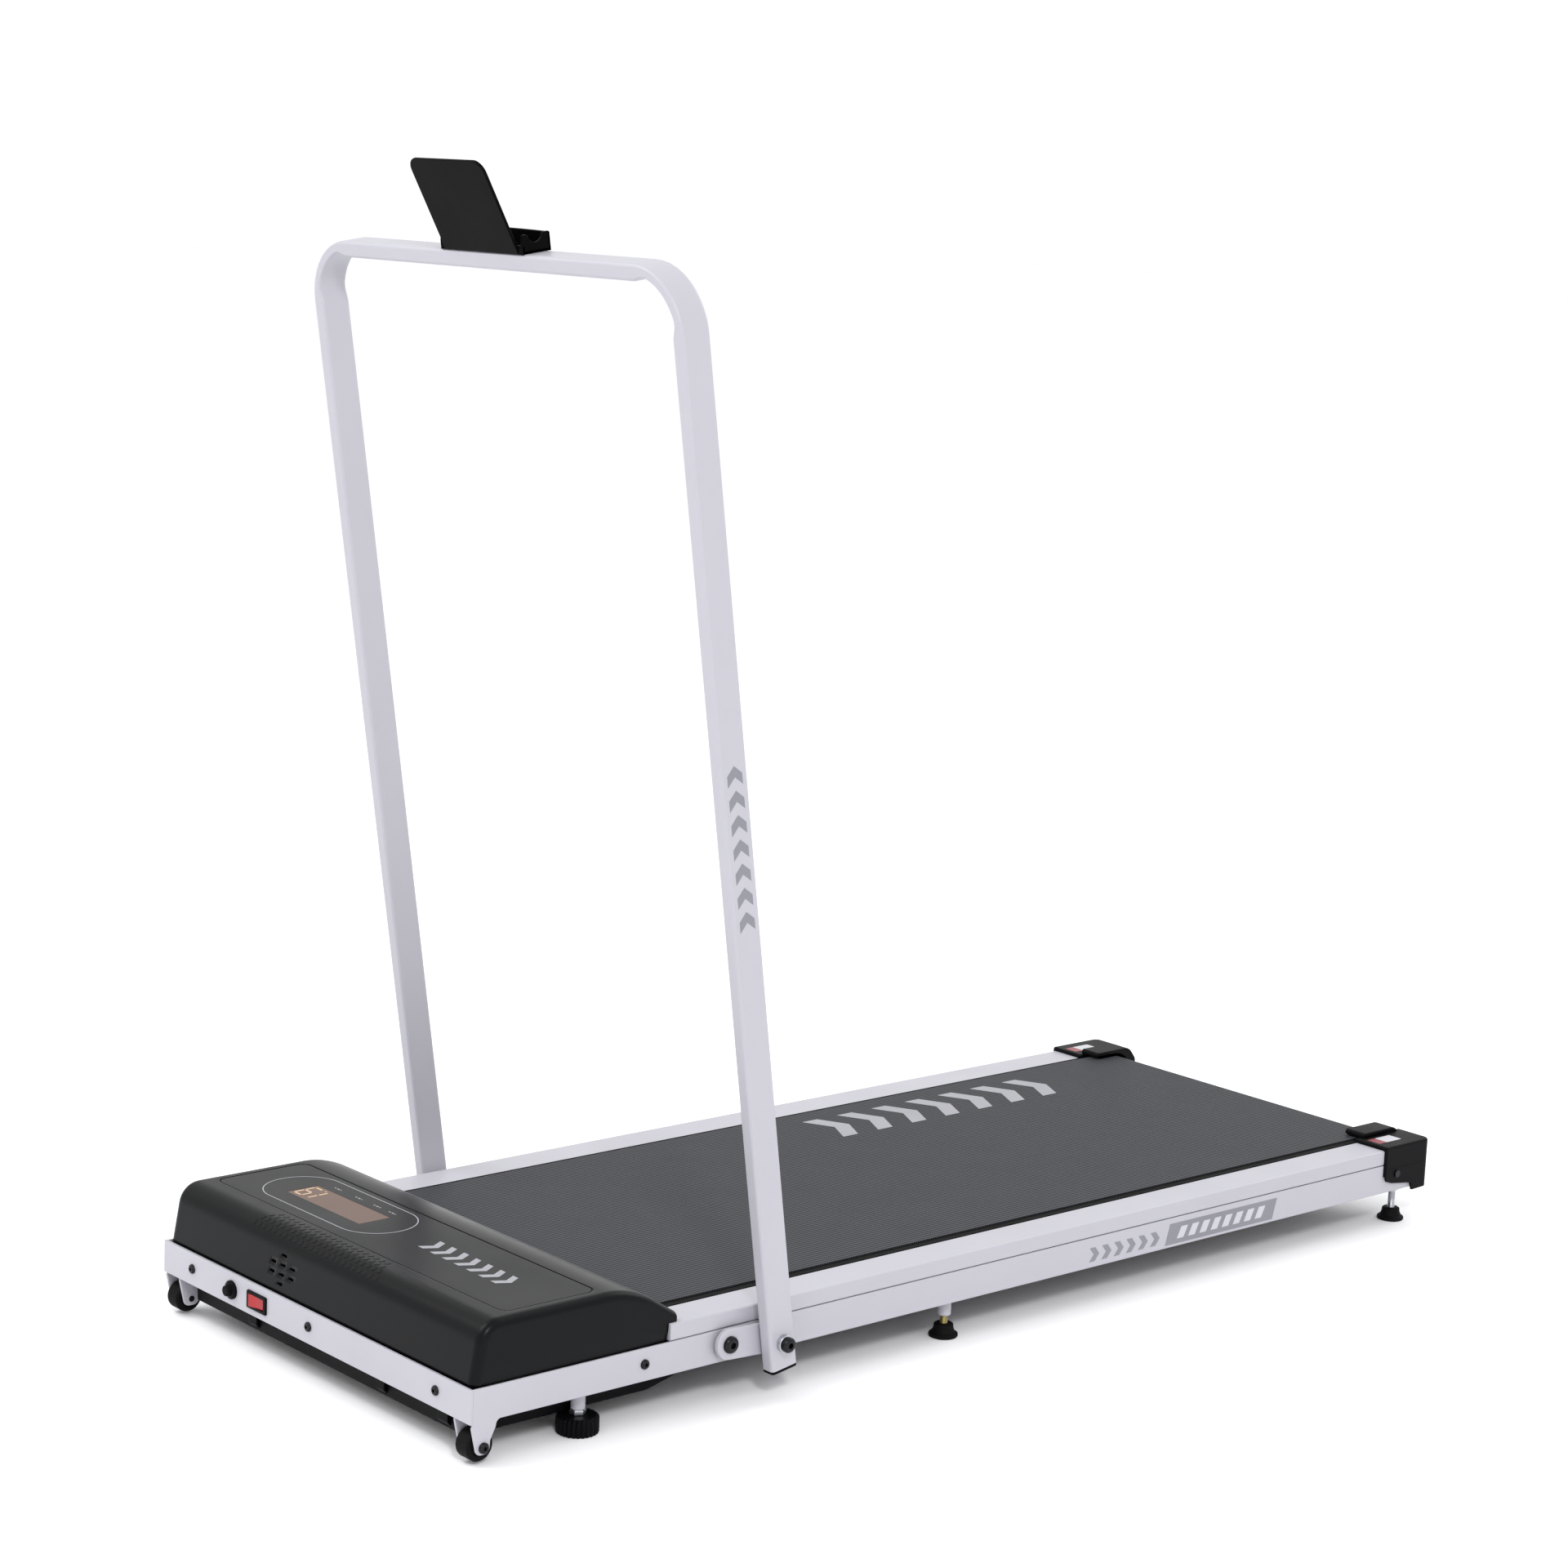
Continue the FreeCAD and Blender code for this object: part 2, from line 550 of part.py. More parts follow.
def make_cover():
    """Motor cover shell, display panel with its lens, and belly pan."""
    shell = cover_solid("0")
    half = number("cover_half")
    soften(shell, "cheek_radius",
           lambda mid, box: abs(abs(mid.x) - half) < 0.1 and box.ZMax > number("rail_top + 1"))
    cavity = cover_solid("sheet")
    inner_half = number("cover_half - sheet")
    soften(cavity, "cheek_radius - sheet",
           lambda mid, box: abs(abs(mid.x) - inner_half) < 0.1 and box.ZMax > number("rail_top + 1"))
    sweep = [("-horn_start", back("cover_rear")), ("horn_start", back("cover_rear")),
             ("cover_half + 1", back("horn_end")), ("cover_half + 1", back("260")),
             ("-cover_half - 1", back("260")), ("-cover_half - 1", back("horn_end"))]
    rear = place(slab("XY_Plane", sweep, "80", symmetric=False), ("0", "0", "60"))
    inner_sweep = [("-horn_start", back("cover_rear - sheet")), ("horn_start", back("cover_rear - sheet")),
                   ("cover_half + 1", back("horn_end - sheet")), ("cover_half + 1", back("260")),
                   ("-cover_half - 1", back("260")), ("-cover_half - 1", back("horn_end - sheet"))]
    inner_rear = place(slab("XY_Plane", inner_sweep, "80", symmetric=False), ("0", "0", "60"))
    hollow = cut(cavity, [inner_rear])
    belt_way = block(("-rail_inner", back("140"), "60"), ("rail_inner", back("260"), "92"))
    rail_way = block(("-half_width", back("rail_start - 1"), "60"), ("half_width", back("260"), "rail_top + 0.3"))
    window = block(("-panel_half", back("panel_front"), "cover_top - sheet"),
                   ("panel_half", back("panel_rear"), "cover_top + 1"))
    vents = [block((f"{x} - 4.5", back("-2"), f"{z} - 1.3"), (f"{x} + 4.5", back("12"), f"{z} + 1.3"))
             for x, z in [(-56, 105.2), (-56, 96.5), (-56, 87.8), (-56, 79.1),
                          (-71.6, 96.5), (-71.6, 87.8), (-40.4, 96.5), (-40.4, 87.8)]]
    covered = cut(shell, [hollow, rear, belt_way, rail_way, window, *vents])
    tabs = []
    for sign in SIDES.values():
        tab = across(sign, "half_width - 2 * sheet - 0.2", "half_width - sheet - 0.2",
                     (back("180"), "48"), (back("197"), "80"))
        tabs.append(cut(tab, [pin(sign, "half_width - 9", "half_width", SIDE_BOLT, "2.6")]))
    keep("motor_cover", fuse([covered, *tabs]))

    lens_low = ("window_x - window_wide / 2", back("window_back - window_deep / 2"), "cover_top - 3")
    lens_high = ("window_x + window_wide / 2", back("window_back + window_deep / 2"), "cover_top")
    face = block(("-panel_half + panel_gap", back("panel_front + panel_gap"), "cover_top - sheet"),
                 ("panel_half - panel_gap", back("panel_rear - panel_gap"), "cover_top"))
    ledge = block(("-panel_half - panel_ledge", back("panel_front - panel_ledge"), "cover_top - 2 * sheet"),
                  ("panel_half + panel_ledge", back("panel_rear + 1"), "cover_top - sheet"))
    opening = block(("window_x - window_wide / 2 - 0.1", back("window_back - window_deep / 2 - 0.1"), "110"),
                    ("window_x + window_wide / 2 + 0.1", back("window_back + window_deep / 2 + 0.1"), "130"))
    keep("display_panel", cut(fuse([face, ledge]), [opening]))
    keep("display_lens", block(lens_low, lens_high))

    def pan_profile(inset, top):
        return [(back(f"pan_front + {inset}"), top), (back(f"pan_front + {inset}"), f"pan_bottom + {inset}"),
                (back("pan_slope"), f"pan_bottom + {inset}"),
                (back(f"pan_end - {inset}"), f"frame_bottom - 4 + {inset}"), (back(f"pan_end - {inset}"), top)]

    pan = slab("YZ_Plane", pan_profile("0", "frame_bottom"), "2 * pan_half")
    inside = slab("YZ_Plane", pan_profile("sheet", "frame_bottom + 5"), "2 * (pan_half - sheet)")
    corners = [across(sign, "214", "half_width", (back("0"), "0"), (back("34"), "45"))
               for sign in SIDES.values()]
    keep("belly_pan", cut(pan, [inside, *corners]))


# ---------------------------------------------------------------- switch and breaker

def make_controls():
    """Rocker switch and push-to-reset breaker in the front plate."""
    housing = block(("switch_x - 14.4", "front", "control_height - 7.2"),
                    ("switch_x + 14.4", back("20"), "control_height + 7.2"))
    rim = block(("switch_x - 16", back("-2"), "control_height - 8.5"),
                ("switch_x + 16", "front", "control_height + 8.5"))
    well = block(("switch_x - 12.6", back("-3"), "control_height - 6"),
                 ("switch_x + 12.6", back("10"), "control_height + 6"))
    seat = rod("z", ("switch_x", back("2"), "control_height - 7"), "1.55", "14")
    keep("switch_bezel", cut(fuse([housing, rim]), [well, seat]))
    face = [("-11", "-5"), ("0", "-2.4"), ("11", "-1"), ("8", "4"), ("-8", "4")]
    lever = place(slab("XY_Plane", face, "11.6"), ("switch_x", back("1"), "control_height"))
    trunnion = rod("z", ("switch_x", back("2"), "control_height - 6.8"), "1.5", "13.6")
    keep("switch_rocker", fuse([lever, trunnion]))
    barrel = rod("y", ("breaker_x", "front", "control_height"), "6", "26")
    nut = rod("y", ("breaker_x", back("-4"), "control_height"), "9", "4")
    bore = rod("y", ("breaker_x", back("-5"), "control_height"), "5.3", "13")
    keep("breaker_body", cut(fuse([barrel, nut]), [bore]))
    keep("breaker_button", rod("y", ("breaker_x", back("-8"), "control_height"), "5.2", "10"))


# ---------------------------------------------------------------- wheels and feet

def make_wheels():
    """Transport wheels under the front corners, on bolts through the beam ears."""
    axis = (back("wheel_back"), "wheel_height")
    bolts = []
    for name, sign in SIDES.items():
        wheel = pin(sign, "wheel_inner", "wheel_outer", axis, "wheel_radius")
        keep(f"{name}_wheel", cut(wheel, [pin(sign, "220", "250", axis, "3.1")]))
        shank = pin(sign, "220", "half_width", axis, "3")
        head = pin(sign, "half_width", "half_width + 3", axis, "5.4")
        bolts.append(fuse([shank, head]))
    keep("wheel_bolts", group(bolts))


def make_feet():
    """Screw feet: hand knobs at the front, rubber pads in the middle and at the rear."""
    knob = [("0", "0"), ("knob_radius - 1", "0"), ("knob_radius", "1"), ("knob_radius", "knob_tall - 1"),
            ("knob_radius - 1", "knob_tall"), ("bolt_radius", "knob_tall"), ("bolt_radius", "stud_top"),
            ("0", "stud_top")]
    pad = [("0", "0"), ("pad_radius - 0.5", "0"), ("pad_radius", "0.5"), ("pad_radius", "3"), ("10", "8"),
           ("9.2", "pad_tall - 1"), ("8", "pad_tall"), ("bolt_radius", "pad_tall"),
           ("bolt_radius", "stud_top"), ("0", "stud_top")]
    nuts = []
    for name, sign in SIDES.items():
        for row, spot in FEET.items():
            foot = turned(knob if row == "front" else pad)
            keep(f"{row}_foot_{name}", place(foot, (f"{sign} * foot_x", back(spot), "0")))
        nut = doc.addObject("Part::Prism", "Nut")
        nut.Polygon = 6
        nut.setExpression("Circumradius", bind("7.5"))
        nut.setExpression("Height", bind("21.5 - knob_tall - 0.2"))
        place(nut, (f"{sign} * foot_x", back("front_foot"), "knob_tall + 0.2"))
        nuts.append(cut(nut, [rod("z", (f"{sign} * foot_x", back("front_foot"), "10"),
                                  "bolt_radius + thread_gap", "20")]))
    keep("foot_lock_nuts", group(nuts))


# ---------------------------------------------------------------- handrail

LEAN = (Vector(1, 0, 0), SIZES["lean"][0])


def stand(thing):
    """Set a piece drawn round the pivot on the machine, leaning with the handrail."""
    return place(thing, ("0", back("pivot_back"), "pivot_height"), *LEAN)


def hoop(wall, depth, below):
    """Return the bent hoop of the handrail, moved in by a wall all round."""
    outer = f"handrail_half - {wall}"
    inner = f"handrail_half - tube_wide + {wall}"
    top = f"tube_above - {wall}"
    under = f"tube_above - tube_wide + {wall}"
    corners = [(f"-({outer})", below), (f"-({inner})", below), (f"-({inner})", under), (inner, under),
               (inner, below), (outer, below), (outer, top), (f"-({outer})", top)]
    body = slab("XZ_Plane", corners, depth)
    outer_x, inner_x = number(outer), number(inner)
    top_z, under_z = number(top), number(under)
    soften(body, f"bend_radius - {wall}",
           lambda mid, box: abs(abs(mid.x) - outer_x) < 0.1 and abs(mid.z - top_z) < 0.1)
    soften(body, f"bend_radius - tube_wide + {wall}",
           lambda mid, box: abs(abs(mid.x) - inner_x) < 0.1 and abs(mid.z - under_z) < 0.1)
    return body


def make_handrail():
    """Folding handrail hoop of flat oval tube, its plugs, brackets, sleeves and bolts."""
    skin = hoop("0", "tube_deep", "-tube_below")
    hollow = hoop("tube_wall", "tube_deep - 2 * tube_wall", "-tube_below - 1")
    hole = rod("x", ("-handrail_half - 1", "0", "0"), "sleeve_radius + pivot_fit", "2 * handrail_half + 2")
    stops = [pin(sign, "handrail_half - tube_wide - 6.5", "handrail_half - tube_wide + 0.5",
                 ("-1.3", "18.1"), "2.5") for sign in SIDES.values()]
    keep("handrail", stand(fuse([cut(skin, [hollow, hole]), *stops])))

    plugs = []
    for sign in SIDES.values():
        lid = across(sign, "handrail_half - tube_wide", "handrail_half", ("-tube_deep / 2", "-tube_below - 3"),
                     ("tube_deep / 2", "-tube_below"))
        insert = across(sign, "handrail_half - tube_wide + tube_wall + 0.2", "handrail_half - tube_wall - 0.2",
                        ("-tube_deep / 2 + tube_wall + 0.2", "-tube_below"),
                        ("tube_deep / 2 - tube_wall - 0.2", "-13"))
        plugs.append(fuse([lid, insert]))
    keep("handrail_plugs", stand(group(plugs)))

    spacers, sleeves, pivots, bolts = [], [], [], []
    for name, sign in SIDES.items():
        arm = fuse([across(sign, "bar_inner", "bar_outer", ("-bar_reach", "-bar_radius"), ("0", "bar_radius")),
                    pin(sign, "bar_inner", "bar_outer", ("0", "0"), "bar_radius"),
                    pin(sign, "bar_inner", "bar_outer", ("-bar_reach", "0"), "bar_radius")])
        holes = [pin(sign, "bar_inner - 1", "bar_outer + 1", (spot, "0"), "bolt_radius + 0.2")
                 for spot in ("0", "-bar_reach")]
        keep(f"hinge_bracket_{name}", place(cut(arm, holes), ("0", back("pivot_back"), "pivot_height"),
                                            Vector(1, 0, 0), SIZES["bar_tilt"][0]))
        for spot in (PIVOT, BAR_BOLT):
            spacers.append(cut(pin(sign, "half_width", "bar_inner", spot, "8"),
                               [pin(sign, "half_width - 1", "bar_inner + 1", spot, "bolt_radius + 0.2")]))
        collar = pin(sign, "bar_outer", "handrail_half - tube_wide - 0.3", PIVOT, "11")
        tube = pin(sign, "bar_outer", "sleeve_end", PIVOT, "sleeve_radius")
        sleeves.append(cut(fuse([collar, tube]), [pin(sign, "bar_outer - 1", "sleeve_end + 1", PIVOT,
                                                      "bolt_radius + 0.2")]))
        for bolt_list, spot, end, head, tall in ((pivots, PIVOT, "sleeve_end", "7.2", "6"),
                                                 (bolts, BAR_BOLT, "bar_outer", "8", "4.5")):
            shank = pin(sign, "236", end, spot, "bolt_radius")
            cap = pin(sign, end, f"{end} + {tall}", spot, head)
            nut = pin(sign, "half_width - sheet - 6.5", "half_width - sheet", spot, "6.5")
            bolt_list.append(fuse([shank, cap, nut]))
    keep("bracket_spacers", group(spacers))
    keep("pivot_sleeves", group(sleeves))
    keep("pivot_bolts", group(pivots))
    keep("bracket_bolts", group(bolts))


def make_phone_holder():
    """Phone holder on the top of the handrail: a tray with cable notches and a leaning back plate."""
    low_x = "holder_x - holder_half"
    high_x = "holder_x + holder_half"
    front_y = "-tube_deep / 2"
    rear_y = "tube_deep / 2 + 1"
    floor = block((low_x, front_y, "tube_above"), (high_x, rear_y, "tube_above + holder_wall"))
    rim = block((low_x, f"{rear_y} - holder_wall", "tube_above"), (high_x, rear_y, "tube_above + holder_tall"))
    cheeks = [block((low_x, front_y, "tube_above"), (f"{low_x} + holder_wall", rear_y, "tube_above + holder_tall")),
              block((f"{high_x} - holder_wall", front_y, "tube_above"), (high_x, rear_y, "tube_above + holder_tall"))]
    lip = block((low_x, front_y, "tube_above"), (high_x, f"{front_y} + holder_wall", "tube_above + 8"))
    plate = slab("XZ_Plane", [("-plate_half", "1.2"), ("plate_half", "1.2"), ("plate_half", "plate_long"),
                              ("-plate_half", "plate_long")], "holder_wall", symmetric=False)
    soften(plate, "12", lambda mid, box: mid.z > 50 and box.YLength > 1 and box.XLength < 0.1
           and box.ZLength < 0.1)
    place(plate, ("holder_x", f"{front_y} + holder_wall", "tube_above"), Vector(1, 0, 0), SIZES["plate_lean"][0])
    tray = fuse([floor, rim, *cheeks, lip, plate])
    notch = rod("x", (f"{low_x} - 1", "0", "tube_above + holder_tall"), "8.5", "2 * holder_half + 2")
    screws = [rod("z", (f"holder_x + {x}", "0", "tube_above - 4"), "1.6", "12") for x in ("-35", "35")]
    keep("phone_holder", stand(cut(tray, [notch, *screws])))
    heads = [fuse([rod("z", (f"holder_x + {x}", "0", "tube_above + holder_wall"), "3", "1.6"),
                   rod("z", (f"holder_x + {x}", "0", "tube_above"), "1.5", "holder_wall")])
             for x in ("-35", "35")]
    keep("holder_screws", stand(group(heads)))


# ---------------------------------------------------------------- rear end and fasteners

def make_rear_caps():
    """Plastic end caps with a flap over each edge of the belt, and the belt tension bolts."""
    skirt = [(back("cap_start"), "cap_top"), (back("cap_start"), "60"), (back("1206"), "53"),
             (back("1214"), "50.5"), (back("1248"), "46"), (back("1250"), "cap_low"),
             (back("cap_end"), "cap_low + 2"), (back("cap_end"), "cap_top")]
    tension = []
    screws = []
    for name, sign in SIDES.items():
        body = slab("YZ_Plane", skirt, "cap_outer - 205", symmetric=False)
        rear_top = number("cap_top")
        rear_y = number(back("cap_end"))
        outer_x = number("cap_outer - 205") if sign > 0 else 0
        soften(body, "9", lambda mid, box: box.ZLength > 40 and abs(mid.y - rear_y) < 0.1
               and abs(mid.x - outer_x) < 0.1)
        soften(body, "6", lambda mid, box: box.XLength > 20 and abs(mid.z - rear_top) < 0.1
               and abs(mid.y - rear_y) < 0.1)
        place(body, (side(sign, "205", "cap_outer")[0], "0", "0"))
        fender = across(sign, "flap_inner", "206", (back("1265"), "45"), (back("cap_end"), "cap_top - 6"))
        flap = across(sign, "flap_inner", "212", (back("1210"), "91.2"), (back("1266"), "flap_top"))
        hollow = across(sign, "207.5", "half_width + 0.4", (back("cap_start - 1"), "30"),
                        (back("cap_end - 3"), "cap_top - 2.5"))
        axle_way = across(sign, "200", "208", (back("1225"), "30"), (back("1264"), "76"))
        low_way = across(sign, "180", "208", (back("1200"), "30"), (back("1264"), "60"))
        bolt_way = rod("y", (f"{sign} * tension_x", back("1270"), "roller_height"), "8", "10")
        screw_way = pin(sign, "half_width", "cap_outer + 1", CAP_SCREW, "2.2")
        keep(f"rear_cap_{name}", cut(fuse([body, fender, flap]),
                                     [hollow, axle_way, low_way, bolt_way, screw_way]))
        shank = rod("y", (f"{sign} * tension_x", back("1201"), "roller_height"), "4", "62")
        head = rod("y", (f"{sign} * tension_x", back("1263"), "roller_height"), "6.5", "7")
        tension.append(fuse([shank, head]))
        screws.append(fuse([pin(sign, "half_width - 6", "cap_outer", CAP_SCREW, "2"),
                            pin(sign, "cap_outer", "cap_outer + 1.4", CAP_SCREW, "4")]))
    keep("tension_bolts", group(tension))
    keep("cap_screws", group(screws))


def make_cover_screws():
    """Dome screws in the front plate and the side beams."""
    screws = [fuse([rod("y", (x, "front", "plate_bolt_height"), "2.5", "9"),
                    rod("y", (x, back("-2.6"), "plate_bolt_height"), "4.6", "2.6")])
              for x in ("-plate_bolt_x", "0", "plate_bolt_x")]
    screws += [fuse([pin(sign, "half_width - 7", "half_width", SIDE_BOLT, "2.5"),
                     pin(sign, "half_width", "half_width + 2.6", SIDE_BOLT, "4.6")])
               for sign in SIDES.values()]
    keep("cover_screws", group(screws))


def export():
    """Check every object and write one STEP file for each sub-part."""
    doc.recompute()
    failed = [item.Label for item in doc.Objects if {"Invalid", "Error"} & set(item.State)]
    failed += [name for name, item in nodes.items() if item.Shape.isNull() or not item.Shape.isValid()]
    if failed:
        raise RuntimeError("these objects failed: " + ", ".join(failed))
    os.makedirs("parts", exist_ok=True)
    for name, item in nodes.items():
        item.Shape.exportStep(f"parts/{name}.step")
    print(f"{len(nodes)} sub-parts written")


make_frame()
make_foot_rails()
make_deck()
make_roller("front", "front_roller")
make_roller("rear", "rear_roller")
make_motor()
make_electronics()
make_cover()
make_controls()
make_wheels()
make_feet()
make_handrail()
make_phone_holder()
make_rear_caps()
make_cover_screws()
export()
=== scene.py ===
"""Folding walking treadmill: rounded shells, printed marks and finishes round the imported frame."""

import json
import logging
import math
from collections.abc import Callable, Sequence
from dataclasses import dataclass, field
from enum import Enum

import bmesh
import bpy
import numpy as np
from mathutils import Matrix, Vector


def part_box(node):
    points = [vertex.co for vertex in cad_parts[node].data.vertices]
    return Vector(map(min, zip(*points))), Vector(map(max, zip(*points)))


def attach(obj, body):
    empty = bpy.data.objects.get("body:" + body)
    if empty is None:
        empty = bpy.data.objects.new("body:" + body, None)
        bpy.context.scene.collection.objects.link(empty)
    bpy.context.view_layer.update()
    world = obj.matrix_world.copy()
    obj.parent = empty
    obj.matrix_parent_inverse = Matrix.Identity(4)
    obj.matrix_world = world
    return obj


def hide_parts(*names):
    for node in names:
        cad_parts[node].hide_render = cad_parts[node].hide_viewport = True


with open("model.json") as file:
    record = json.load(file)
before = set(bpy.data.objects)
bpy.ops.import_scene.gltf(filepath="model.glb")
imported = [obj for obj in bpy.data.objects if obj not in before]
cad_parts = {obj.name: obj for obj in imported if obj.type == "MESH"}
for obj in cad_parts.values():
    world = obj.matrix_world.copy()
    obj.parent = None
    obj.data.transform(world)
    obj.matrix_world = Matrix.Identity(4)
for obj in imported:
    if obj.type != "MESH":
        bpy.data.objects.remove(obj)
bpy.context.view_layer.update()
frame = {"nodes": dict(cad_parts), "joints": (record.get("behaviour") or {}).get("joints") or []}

LOG = logging.getLogger("treadmill")
Array = np.ndarray
Colour = tuple[float, float, float, float]
MM = 0.001
PRINT = 0.12          # thickness of a printed mark, mm
PRINT_EDGE = 0.02     # rounding of its edges
BELT_TOP = 89.2       # top of the running belt
PANEL_TOP = 127.0     # top of the hood and its panel
FOOT_X = 228.0        # middle plane to the feet
FOOT_ROWS = (("front", 131.0), ("mid", 574.0), ("rear", 1245.0))
SHEET = 2.5           # thickness of the frame's steel


class Axis(Enum):
    """Direction that a profile is carried along, or turned round."""

    X = 0
    Y = 1
    Z = 2


class Side(Enum):
    """Side of the machine: the walker's left is +X."""

    LEFT = 1
    RIGHT = -1

    @property
    def tag(self) -> str:
        """Word for this side in names."""
        return self.name.lower()


class Body(Enum):
    """Rigid bodies of the machine that pieces ride on."""

    FRAME = "frame"
    HANDRAIL = "handrail"
    ROCKER = "power_rocker"
    BUTTON = "reset_button"


# ---------------------------------------------------------------- places

def node_box(node: str) -> tuple[Array, Array]:
    """Lowest and highest corners of a CAD node.

    Args:
        node: name of the CAD node.

    Returns:
        Two corners in millimetres.
    """
    low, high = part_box(node)
    return np.array(low) / MM, np.array(high) / MM


FRONT = float(node_box("front_plate")[0][1])
HALF = float(node_box("front_plate")[1][0])
BEAM_LOW, BEAM_TOP = (float(corner[2]) for corner in node_box("front_plate"))
FOLD = next(joint for joint in frame["joints"] if joint["name"] == "handrail_fold")
PIVOT = np.array(FOLD["pos_m"]) / MM
LEAN = math.radians(9.0)


def back(distance: float | Array) -> float | Array:
    """World y in millimetres of a distance behind the front plate."""
    return FRONT + distance


def leaned(points: Array) -> Array:
    """Points drawn round the handrail pivot, turned to the standing handrail's lean.

    The turn is y' = y cos a - z sin a and z' = y sin a + z cos a, then the pivot is added.

    Args:
        points: points in millimetres, with the pivot as origin.

    Returns:
        World points in millimetres.
    """
    x, y, z = points[..., 0], points[..., 1], points[..., 2]
    turned_y = y * math.cos(LEAN) - z * math.sin(LEAN)
    turned_z = y * math.sin(LEAN) + z * math.cos(LEAN)
    return np.stack((x, turned_y + PIVOT[1], turned_z + PIVOT[2]), axis=-1)


# ---------------------------------------------------------------- surfaces

@dataclass
class Shell:
    """Points in millimetres with quads and many-sided faces."""

    points: Array
    quads: Array
    caps: list[list[int]] = field(default_factory=list)

    def __add__(self, other: "Shell") -> "Shell":
        """Both surfaces as one.

        Args:
            other: surface whose point numbers are shifted past this one's.

        Returns:
            The joined surface.
        """
        shift = len(self.points)
        caps = self.caps + [[index + shift for index in cap] for cap in other.caps]
        return Shell(np.vstack((self.points, other.points)), np.vstack((self.quads, other.quads + shift)),
                     caps)

    def moved(self, change: Callable[[Array], Array]) -> "Shell":
        """The same surface with its points passed through a function."""
        return Shell(change(self.points), self.quads, self.caps)


def joined(shells: Sequence[Shell]) -> Shell:
    """Several surfaces as one.

    Args:
        shells: surfaces to join, at least one.

    Returns:
        The joined surface.
    """
    total = shells[0]
    for shell in shells[1:]:
        total = total + shell
    return total


def grid_quads(rows: int, columns: int, wrap_rows: bool = False, wrap_columns: bool = False) -> Array:
    """Quads between the neighbours of a grid whose points are numbered row by row.

    Args:
        rows: number of rows.
        columns: number of columns.
        wrap_rows: whether the last row meets the first.
        wrap_columns: whether the last column meets the first.

    Returns:
        Array of four indices for each quad.
    """
    index = np.arange(rows * columns).reshape(rows, columns)
    if wrap_rows:
        index = np.vstack((index, index[:1]))
    if wrap_columns:
        index = np.hstack((index, index[:, :1]))
    corners = (index[:-1, :-1], index[:-1, 1:], index[1:, 1:], index[1:, :-1])
    return np.stack(corners, axis=-1).reshape(-1, 4)


def loft(rings: Array, wrapped: bool = False) -> Shell:
    """Skin over a stack of closed rings.

    Args:
        rings: array of rings, points and coordinates.
        wrapped: whether the last ring meets the first; otherwise both ends are capped.

    Returns:
        The closed surface.
    """
    rows, columns = rings.shape[:2]
    caps = [] if wrapped else [list(range(columns))[::-1], list(range((rows - 1) * columns, rows * columns))]
    return Shell(rings.reshape(-1, 3), grid_quads(rows, columns, wrapped, True), caps)


def lay(axis: Axis, across: Array, along: Array | float) -> Array:
    """Points from two coordinates across an axis and one along it.

    Args:
        axis: direction that the third coordinate runs along.
        across: pairs of coordinates: (y, z) across X, (x, z) across Y and (x, y) across Z.
        along: coordinate along the axis, one for all or one for each pair.

    Returns:
        Points with three coordinates.
    """
    first, second = across[..., 0], across[..., 1]
    height = np.broadcast_to(along, first.shape)
    order = {Axis.X: (height, first, second), Axis.Y: (first, height, second),
             Axis.Z: (first, second, height)}
    return np.stack(order[axis], axis=-1)


def rounded(corners: Sequence[tuple[float, float, float]], steps: int = 6, closed: bool = True) -> Array:
    """Outline through corners, each one turned into an arc of its own radius.

    With half the corner's inner angle h, the arc starts r / tan h before the corner and its centre
    lies r / sin h along the bisector. Points on it are blended as on a great circle.

    Args:
        corners: (first, second, radius) of each corner.
        steps: points on each arc.
        closed: whether the outline closes; if not, its two ends stay sharp.

    Returns:
        Array of points.
    """
    data = np.array(corners, float)
    spots = data[:, :2]
    before = np.roll(spots, 1, 0) - spots
    after = np.roll(spots, -1, 0) - spots
    before /= np.linalg.norm(before, axis=1, keepdims=True)
    after /= np.linalg.norm(after, axis=1, keepdims=True)
    share = np.linspace(0, 1, steps + 1)[:, None]
    parts = []
    for index, (spot, one, two, radius) in enumerate(zip(spots, before, after, data[:, 2])):
        half = math.acos(float(np.clip(one @ two, -1, 1))) / 2
        end = not closed and index in (0, len(spots) - 1)
        if end or radius <= 0 or half > math.pi / 2 - 0.01:
            parts.append(spot[None])
            continue
        middle = one + two
        centre = spot + middle / np.linalg.norm(middle) * radius / math.sin(half)
        start = spot + one * radius / math.tan(half) - centre
        finish = spot + two * radius / math.tan(half) - centre
        turn = math.pi - 2 * half
        arc = (np.sin((1 - share) * turn) * start + np.sin(share * turn) * finish) / math.sin(turn)
        parts.append(centre + arc)
    points = np.vstack(parts)
    gap = np.linalg.norm(np.roll(points, -1, 0) - points, axis=1)
    return points[gap > 1e-4] if closed else points[np.append(gap[:-1] > 1e-4, True)]


def rectangle(low: Sequence[float], high: Sequence[float], radius: float, steps: int = 6) -> Array:
    """Rounded rectangle between two corners."""
    return rounded([(low[0], low[1], radius), (high[0], low[1], radius),
                    (high[0], high[1], radius), (low[0], high[1], radius)], steps)


